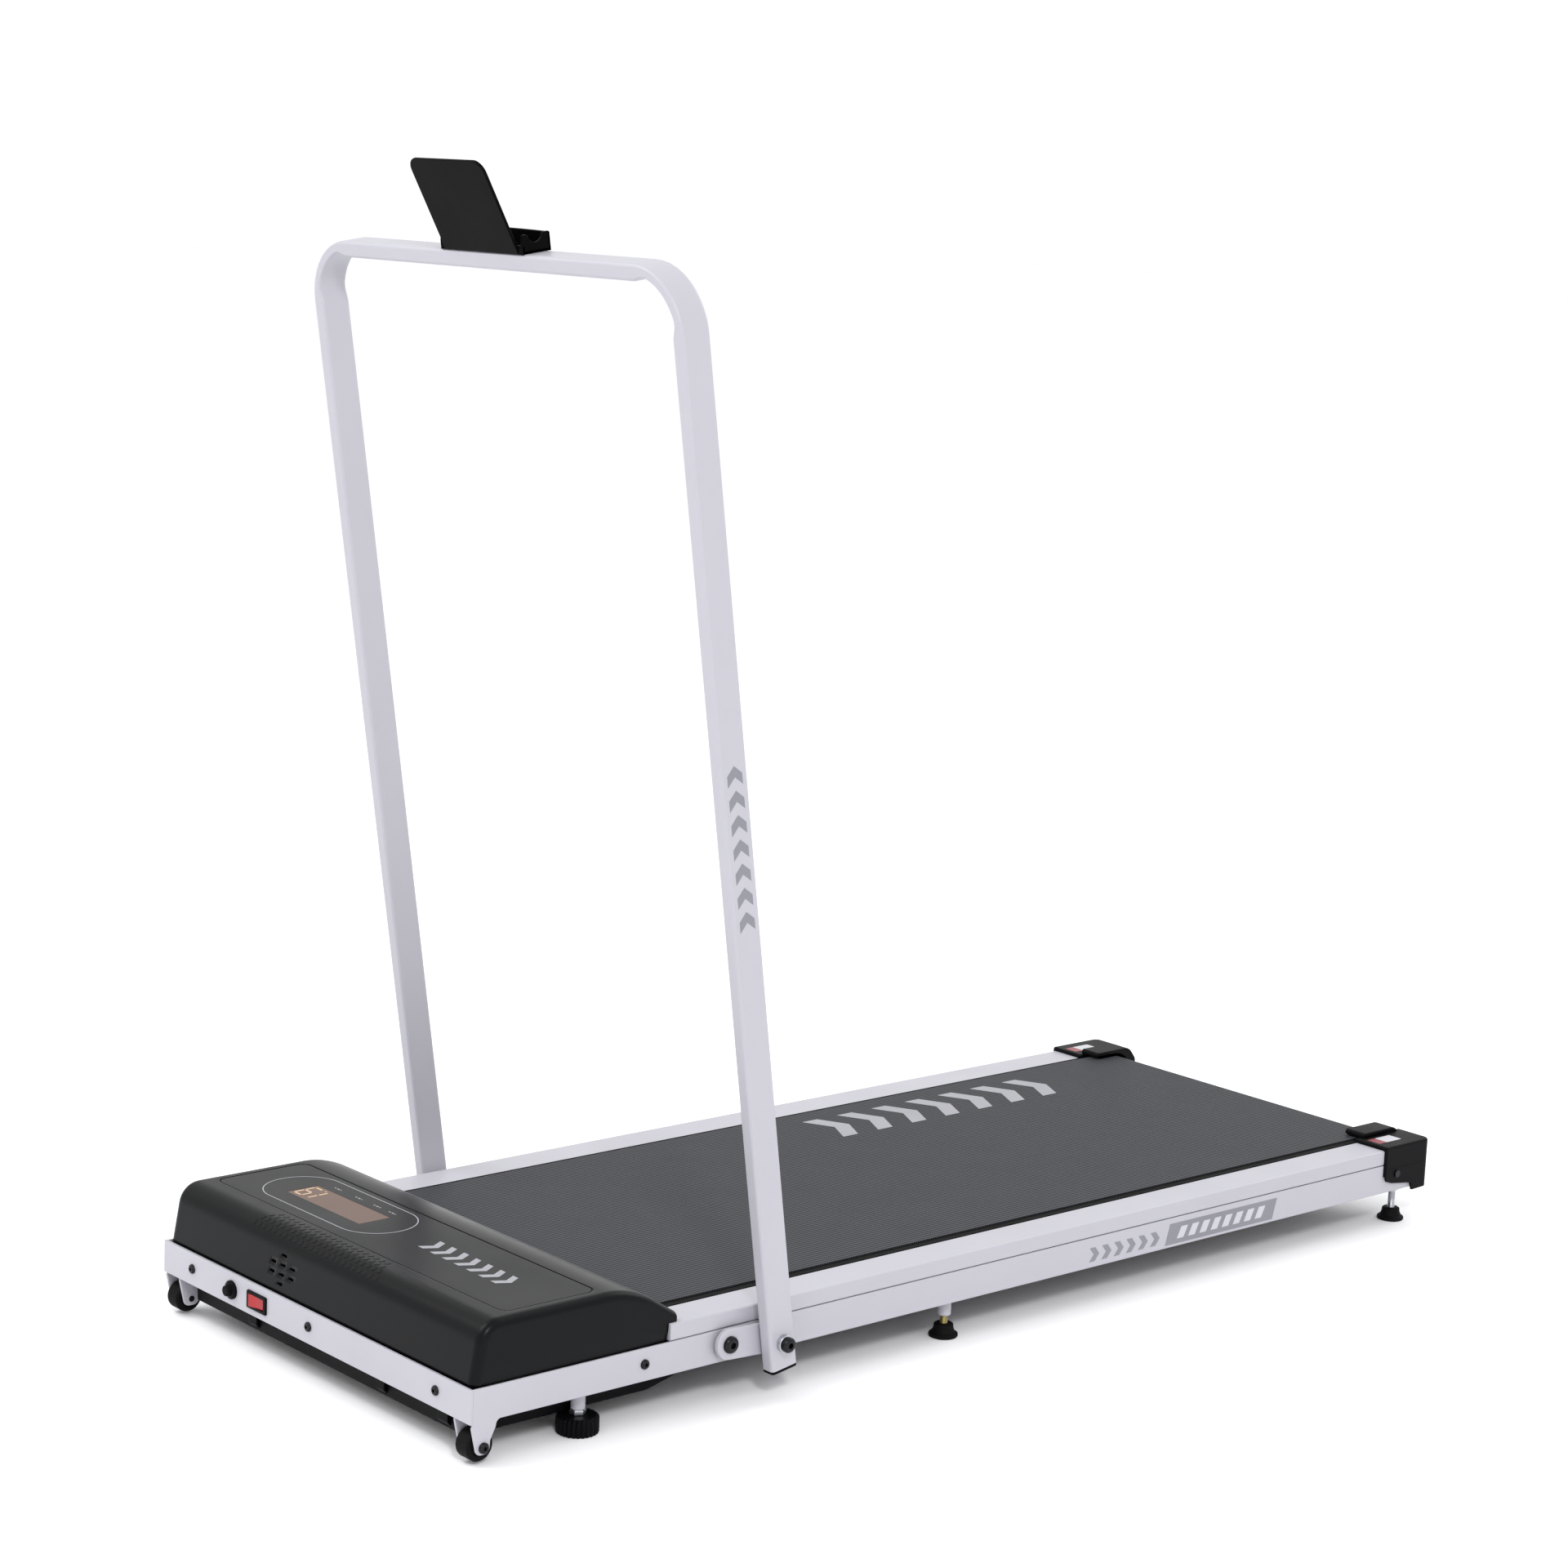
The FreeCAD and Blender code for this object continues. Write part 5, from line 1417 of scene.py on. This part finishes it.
        make_piece("tube_plugs", joined(plugs), GRAINED_ABS, Body.HANDRAIL,
                   ["handrail_plugs"])
        make_piece("hinge_spacers", joined(spacers), WHITE_COAT, Body.FRAME,
                   ["bracket_spacers"])
        make_piece("hinge_sleeves", joined(sleeves), ZINC, Body.FRAME, ["pivot_sleeves"])
        make_piece("hinge_screws", joined(pivots), BLACK_OXIDE, Body.FRAME, ["pivot_bolts"])
        make_piece("hinge_front_screws", joined(bolts), BLACK_OXIDE, Body.FRAME,
                   ["bracket_bolts"])


@dataclass
class PhoneHolder:
    """Moulded tray with cable notches and a leaning back plate, on top of the hoop."""

    centre: float = 3.0
    half: float = 61.0
    base: float = 972.5
    tall: float = 17.5
    wall: float = 3.0
    lean: float = math.radians(20.4)

    def parts(self) -> Shell:
        """Floor, rear wall, cheeks with U notches, front lip and plate, drawn round the pivot.

        Returns:
            The holder's closed surfaces, before they lean.
        """
        low_x, high_x = self.centre - self.half, self.centre + self.half
        top = self.base + self.tall
        floor = slab(Axis.Z, rectangle((low_x, -15), (high_x, 16), 1.5), self.base, self.base + self.wall,
                     0.6)
        count = 40
        across = np.linspace(low_x, high_x, count)
        crown = top - 1.0 + np.cos(np.linspace(-1, 1, count) * math.pi / 2)
        edge = np.concatenate((np.stack((across, np.full(count, self.base)), axis=1),
                               np.stack((across[::-1], crown[::-1]), axis=1)))
        rear = slab(Axis.Y, edge, 13, 16, 0.7)
        turn = np.radians(np.linspace(0, -180, 17))
        notch = np.stack((8.3 * np.cos(turn), top + 0.2 + 8.3 * np.sin(turn)), axis=1)
        cheek = np.vstack(([[-15, self.base], [16, self.base], [16, top - 1.6], [14.6, top - 0.4],
                            [9.3, top - 0.4]],
                           notch[1:-1], [[-9.0, top - 1.2], [-9.6, top - 0.5], [-12.6, top - 0.5],
                                         [-13.6, top - 1.4], [-15, self.base + 8]]))
        cheeks = [slab(Axis.X, cheek, low, low + self.wall, 0.5)
                  for low in (low_x, high_x - self.wall)]
        lip = slab(Axis.Y, rectangle((low_x, self.base), (high_x, self.base + 8), 1.0), -15, -12, 0.8)
        face = rounded([(self.centre - 54.5, 1.2, 2), (self.centre + 54.5, 1.2, 2),
                        (self.centre + 54.5, 91, 12),
                        (self.centre - 54.5, 91, 12)], 10)
        plate = slab(Axis.Y, face, -3.0, 0.0, 0.9, 4).moved(self.tilted)
        gusset = rounded([(-3, 2, 0.3), (-2.8, 20, 0.5), (8, 3, 0.3)], 3)
        ribs = [slab(Axis.X, gusset, self.centre + x - 1.2, self.centre + x + 1.2, 0.4).moved(self.tilted)
                for x in (-48, 0, 48)]
        return joined([floor, rear, *cheeks, lip, plate, *ribs])

    def tilted(self, points: Array) -> Array:
        """Points drawn from the plate's foot, leaned back with it.

        Args:
            points: points with the plate's foot as origin.

        Returns:
            Points drawn round the handrail's pivot.
        """
        y, z = points[:, 1], points[:, 2]
        moved_y = y * math.cos(self.lean) - z * math.sin(self.lean) - 12.0
        return np.stack((points[:, 0], moved_y,
                         y * math.sin(self.lean) + z * math.cos(self.lean) + self.base),
                        axis=1)

    def build(self) -> None:
        """Makes the holder and its screws."""
        make_piece("holder", self.parts().moved(leaned), HOLDER_ABS, Body.HANDRAIL,
                   ["phone_holder"])
        seat = self.base + self.wall
        screws = [socket_screw(Axis.Z, (self.centre + x, 0, seat), 1, 3.0, 1.6).moved(leaned) for x in (-35,
                                                                                                        35)]
        make_piece("holder_heads", joined(screws), BLACK_OXIDE, Body.HANDRAIL,
                   ["holder_screws"])


# ---------------------------------------------------------------- rear caps

@dataclass
class RearCaps:
    """End caps whose flaps lap the belt's edges and round down behind it."""

    start: float = 1202.0
    end: float = 1276.0
    outer: float = 251.0
    top: float = 91.5

    def box(self, way: int) -> Shell:
        """Hollow box lofted from its inside up and over: the lower edge follows the skirt's steps.

        Every ring is the plan outline; the lower rings take their height from the distance back.

        Args:
            way: +1 for the left cap, -1 for the right one.

        Returns:
            The closed box.
        """
        plan = rounded([(206, back(self.start), 2.7), (self.outer, back(self.start), 2.7),
                        (self.outer, back(self.end), 8), (206, back(self.end), 2.7)], 8)
        plan = dense(plan, 1.5)
        foot = np.interp(plan[:, 1] - FRONT, [1202, 1206, 1214, 1247, 1249.5, 1276],
                         [59, 53, 50.5, 46, 37.5, 38.5])
        turn = np.linspace(0, math.pi / 2, 6)
        inner = inset(plan, 2.6)
        rings = [lay(Axis.Z, inner, self.top - 3.0), lay(Axis.Z, inner, foot), lay(Axis.Z, plan, foot)]
        rings += [lay(Axis.Z, inset(plan, 2.5 * (1 - math.cos(t))), self.top - 2.5 + 2.5 * math.sin(t))
                  for t in turn]
        shell = loft(np.stack(rings))
        return shell.moved(lambda points: points * np.array([way, 1, 1]))

    def cap(self, side: Side) -> Shell:
        """Box with rounded outer edges, plus the flap and a thin ridge on its side.

        Args:
            side: side of the machine.

        Returns:
            The cap's closed surfaces.
        """
        way = side.value
        flap = profile((1210, 91.3, 0.4), (1210, 96.4, 3), (1264, 96.4, 15), (self.end - 0.5, 82, 8),
                       (self.end - 0.5, 45, 2), (1266, 45, 1), (1266, 91.3, 26), steps=12)
        box = self.box(way)
        hood = slab(Axis.X, flap, *sorted((way * 186, way * 212)), edge=1.4, steps=4)
        band = profile((self.start + 4, 66.0, 0.2), (self.end - 10, 66.0, 0.2), (self.end - 10, 66.9, 0.2),
                       (self.start + 4, 66.9, 0.2))
        low, high = sorted((way * (self.outer - 1), way * (self.outer + 0.25)))
        ridge = slab(Axis.X, band, low, high, edge=0.2, steps=2)
        return joined([box, hood, ridge])

    def build(self) -> None:
        """Makes the caps, labels and screws."""
        screws, tension = [], []
        for side in Side:
            way = side.value
            make_piece(f"end_cap_{side.tag}", self.cap(side), GRAINED_ABS, Body.FRAME,
                       [f"rear_cap_{side.tag}"])
            low, high = sorted((way * 219.0, way * 236.0))
            for name, finish, near, far in (("red", RED_FILM, 1208.0, 1220.0),
                                            ("pale", WHITE_FILM, 1220.0, 1244.0)):
                label = rectangle((low, back(near)), (high, back(far)), 0.3, 2)
                make_piece(f"cap_label_{name}_{side.tag}",
                           slab(Axis.Z, label, self.top, self.top + PRINT, 0.03),
                           finish, Body.FRAME)
            screws.append(socket_screw(Axis.X, (way * self.outer, back(1221.8), 60.0), way, 3.4, 0.9, 0.6))
            tension.append(socket_screw(Axis.Y, (way * 225, back(1275.6), 66.4), 1, 5.4, 0.35, 0.4, 0.55))
        make_piece("cap_heads", joined(screws), BLACK_OXIDE, Body.FRAME)
        make_piece("tension_heads", joined(tension), ZINC, Body.FRAME)
        dress("cap_screws", BLACK_OXIDE)
        dress("tension_bolts", ZINC)


# ---------------------------------------------------------------- marks and screws

@dataclass
class Marks:
    """Printed arrows and bars, the display's figures and outline, and the frame's visible screws."""

    def arrows(self, count: int, pitch: float, width: float, stroke: float, tip: float) -> list[Array]:
        """Arrow-shaped bars in a row, in a strip that starts at the origin.

        Args:
            count: number of arrows.
            pitch: distance from one to the next.
            width: height of the strip.
            stroke: thickness of an arrow.
            tip: how far its point leads.

        Returns:
            Outline of each arrow.
        """
        return [np.array([(k * pitch, 0), (k * pitch + stroke, 0), (k * pitch + stroke + tip, width / 2),
                          (k * pitch + stroke, width), (k * pitch, width), (k * pitch + tip, width / 2)],
                          float)
                for k in range(count)]

    def bars(self, count: int, length: float, width: float, slant: float, gap: float) -> list[Array]:
        """Slanted bars in a row, in a strip that starts at the origin.

        Args:
            count: number of bars.
            length: length of the row.
            width: height of the strip.
            slant: how far a bar's top leads its foot.
            gap: space between bars.

        Returns:
            Outline of each bar.
        """
        pitch = (length + gap - slant) / count
        bar = pitch - gap
        return [np.array([(k * pitch, 0), (k * pitch + bar, 0), (k * pitch + bar + slant, width),
                          (k * pitch + slant, width)], float) for k in range(count)]

    def belt_print(self) -> None:
        """Pale arrows along the belt."""
        parts = []
        for arrow in self.arrows(7, 50, 66, 21, 17):
            outline = np.stack((-174 + arrow[:, 1], back(742 + arrow[:, 0])), axis=1)
            parts.append(slab(Axis.Z, outline, BELT_TOP, BELT_TOP + PRINT, PRINT_EDGE, 2))
        make_piece("belt_arrows", joined(parts), PALE_INK, Body.FRAME)

    def hood_print(self) -> None:
        """Pale arrows on the panel."""
        parts = []
        for arrow in self.arrows(7, 19.2, 25, 8, 7):
            outline = np.stack((42 + arrow[:, 0], back(113 - arrow[:, 1] - 0.03 * arrow[:, 0])), axis=1)
            parts.append(slab(Axis.Z, outline, PANEL_TOP, PANEL_TOP + PRINT, PRINT_EDGE, 2))
        make_piece("panel_arrows", joined(parts), PALE_INK, Body.FRAME)

    def rail_print(self) -> None:
        """Arrows and a barred grey block on each side beam, and arrows up each upright."""
        for side in Side:
            way = side.value
            low, high = sorted((way * (HALF + 0.0), way * (HALF + PRINT)))
            parts = []
            for bar in self.arrows(6, 17.5, 14.5, 8, 6):
                outline = np.stack((back(751 + bar[:, 0]), 46 + bar[:, 1]), axis=1)
                parts.append(slab(Axis.X, outline, low, high, PRINT_EDGE, 2))
            block = np.array([(back(861), 43.0), (back(1024), 43.0), (back(1030), 65.0), (back(867), 65.0)])
            slots = [slab(Axis.X, block, low, high, PRINT_EDGE, 2)]
            make_piece(f"beam_arrows_{side.tag}", joined(parts + slots), GREY_INK, Body.FRAME)
            marks = []
            for bar in self.bars(8, 134, 12, 6, 7):
                low, high = sorted((way * (HALF + PRINT), way * (HALF + 2 * PRINT)))
                outline = np.stack((back(878 + bar[:, 0]), 48 + bar[:, 1]), axis=1)
                marks.append(slab(Axis.X, outline, low, high, PRINT_EDGE, 2))
            make_piece(f"beam_block_bars_{side.tag}", joined(marks), WHITE_FILM, Body.FRAME)
            low, high = sorted((way * 275.0, way * (275.0 + PRINT)))
            stripes = []
            for arrow in self.arrows(7, 22.0, 17, 10, 8):
                outline = np.stack((-8.5 + arrow[:, 1], 392 + arrow[:, 0]), axis=1)
                stripes.append(slab(Axis.X, outline, low, high, PRINT_EDGE, 2).moved(leaned))
            make_piece(f"upright_arrows_{side.tag}", joined(stripes), GREY_INK, Body.HANDRAIL)

    def display(self) -> None:
        """Stadium line round the display, lit figures behind the lens and small marks beside it."""
        outer = rectangle((-200, back(60)), (-2, back(139)), 39.4, 24)
        rings = [lay(Axis.Z, ring, level) for ring, level in (
            (outer, PANEL_TOP), (outer, PANEL_TOP + PRINT), (inset(outer, 1.1), PANEL_TOP + PRINT),
            (inset(outer, 1.1), PANEL_TOP))]
        make_piece("display_line", loft(np.stack(rings), wrapped=True), PALE_INK, Body.FRAME)
        segments = {"a": (2, 24, 10, 24), "b": (12, 14, 12, 22), "c": (12, 2, 12, 10), "d": (2, 0, 10, 0),
                    "e": (0, 2, 0, 10), "f": (0, 14, 0, 22), "g": (2, 12, 10, 12), "dot": (17, 0, 17, 0)}
        parts = []
        for shift, lit in ((14, ("b", "c", "dot")), (36, ("a", "b", "c", "d", "f", "g"))):
            for key in lit:
                x0, z0, x1, z1 = segments[key]
                spot = np.array([shift, 0.0])
                box = rectangle(np.array([x0, z0]) - 1.1 + spot, np.array([x1, z1]) + 1.1 + spot, 0.8, 2)
                outline = np.stack((-110 - box[:, 0], back(110.5) - box[:, 1]), axis=1)
                parts.append(slab(Axis.Z, outline, 126.86, 126.97, PRINT_EDGE, 2))
        make_piece("lit_figures", joined(parts), LIT_SEGMENT, Body.FRAME)
        icons = []
        for x in (-147, -112, -82, -57):
            for shift, wide in ((0, 2.2), (4.2, 3.6), (9.4, 1.6)):
                shape = rectangle((x + shift, back(124)), (x + shift + wide, back(125.8)), 0.5, 2)
                icons.append(slab(Axis.Z, shape, PANEL_TOP, PANEL_TOP + PRINT, PRINT_EDGE, 2))
        make_piece("display_marks", joined(icons), PALE_INK, Body.FRAME)

    def screws(self) -> None:
        """Dome screws of the front plate and the beams."""
        heads = [socket_screw(Axis.Y, (x, FRONT, 56.0), -1, 4.6, 2.6, 0.75) for x in (-197.0, 0.0, 197.0)]
        heads += [socket_screw(Axis.X, (side.value * HALF, back(188.5), 56.0), side.value, 4.6, 2.6, 0.75)
                  for side in Side]
        make_piece("plate_heads", joined(heads), BLACK_OXIDE, Body.FRAME, ["cover_screws"])

    def build(self) -> None:
        """Makes every mark and screw."""
        self.belt_print()
        self.hood_print()
        self.rail_print()
        self.display()
        self.screws()


# ---------------------------------------------------------------- studio

@dataclass
class Studio:
    """Plain pale floor, soft lights and the camera."""

    spot: tuple[float, float, float] = (2.4899, -2.2856, 1.1026)
    heading: float = math.radians(48.616)
    pitch: float = math.radians(10.215)
    roll: float = math.radians(2.371)

    def floor(self) -> None:
        """Large level floor, matte and nearly white."""
        mesh = bpy.data.meshes.new("floor")
        mesh.from_pydata([(-30, -30, 0), (30, -30, 0), (30, 30, 0), (-30, 30, 0)], [], [(0, 1, 2, 3)])
        floor = bpy.data.objects.new("floor", mesh)
        bpy.context.scene.collection.objects.link(floor)
        mesh.materials.append(Finish("studio_floor", "#fbfbfd", "#fafafc", 0.9, relief_mm=0.0, drift_mm=4000)
                              .material())

    def lamp(self, name: str, spot: Sequence[float], size: float, power: float, aim: Sequence[float]) -> None:
        """Soft square light that faces a point.

        Args:
            name: name of the light.
            spot: where it hangs.
            size: length of its side.
            power: its power in watts.
            aim: point that it faces.
        """
        light = bpy.data.lights.new(name, "AREA")
        light.size = size
        light.energy = power
        holder = bpy.data.objects.new(name, light)
        holder.location = spot
        holder.rotation_euler = (Vector(spot) - Vector(aim)).to_track_quat("Z", "Y").to_euler()
        bpy.context.scene.collection.objects.link(holder)

    def camera(self) -> None:
        """Camera from its heading, pitch and roll: it looks along minus its own Z."""
        a, e, s = self.heading, self.pitch, self.roll
        away = Vector((math.sin(a) * math.cos(e), -math.cos(a) * math.cos(e), math.sin(e)))
        right = (-away).cross(Vector((0, 0, 1))).normalized()
        up = right.cross(-away)
        x_axis = right * math.cos(s) + up * math.sin(s)
        y_axis = up * math.cos(s) - right * math.sin(s)
        turn = Matrix((x_axis, y_axis, away)).transposed().to_4x4()
        data = bpy.data.cameras.new("camera")
        data.lens = 79.163
        data.sensor_width = 36.0
        data.clip_end = 200.0
        shooter = bpy.data.objects.new("camera", data)
        shooter.matrix_world = Matrix.Translation(Vector(self.spot)) @ turn
        bpy.context.scene.collection.objects.link(shooter)
        bpy.context.scene.camera = shooter

    def build(self) -> None:
        """Makes the floor, lights, world and camera."""
        self.floor()
        self.lamp("key", (-1.6, -2.4, 3.4), 2.4, 70.0, (0, 0, 0.1))
        self.lamp("fill", (3.4, -2.2, 3.0), 0.6, 75.0, (0, -0.4, 0.1))
        self.lamp("rim", (0.4, 3.0, 2.6), 2.0, 30.0, (0, 0.2, 0.2))
        world = bpy.data.worlds.new("studio")
        world.use_nodes = True
        world.node_tree.nodes["Background"].inputs["Color"].default_value = linear("#ffffff")
        world.node_tree.nodes["Background"].inputs["Strength"].default_value = 1.04
        bpy.context.scene.world = world
        bpy.context.scene.view_settings.view_transform = "Standard"
        self.camera()


def main() -> None:
    """Builds the machine's sub-assemblies in order, then the studio."""
    logging.basicConfig(level=logging.INFO, format="%(message)s")
    for part in (SteelFrame(), Hood(), Controls(), Deck(), Drive(), Undercarriage(), Handrail(),
                 PhoneHolder(),
                 RearCaps(), Marks(), Studio()):
        LOG.info("building %s", type(part).__name__)
        part.build()


if __name__ == "__main__":
    main()
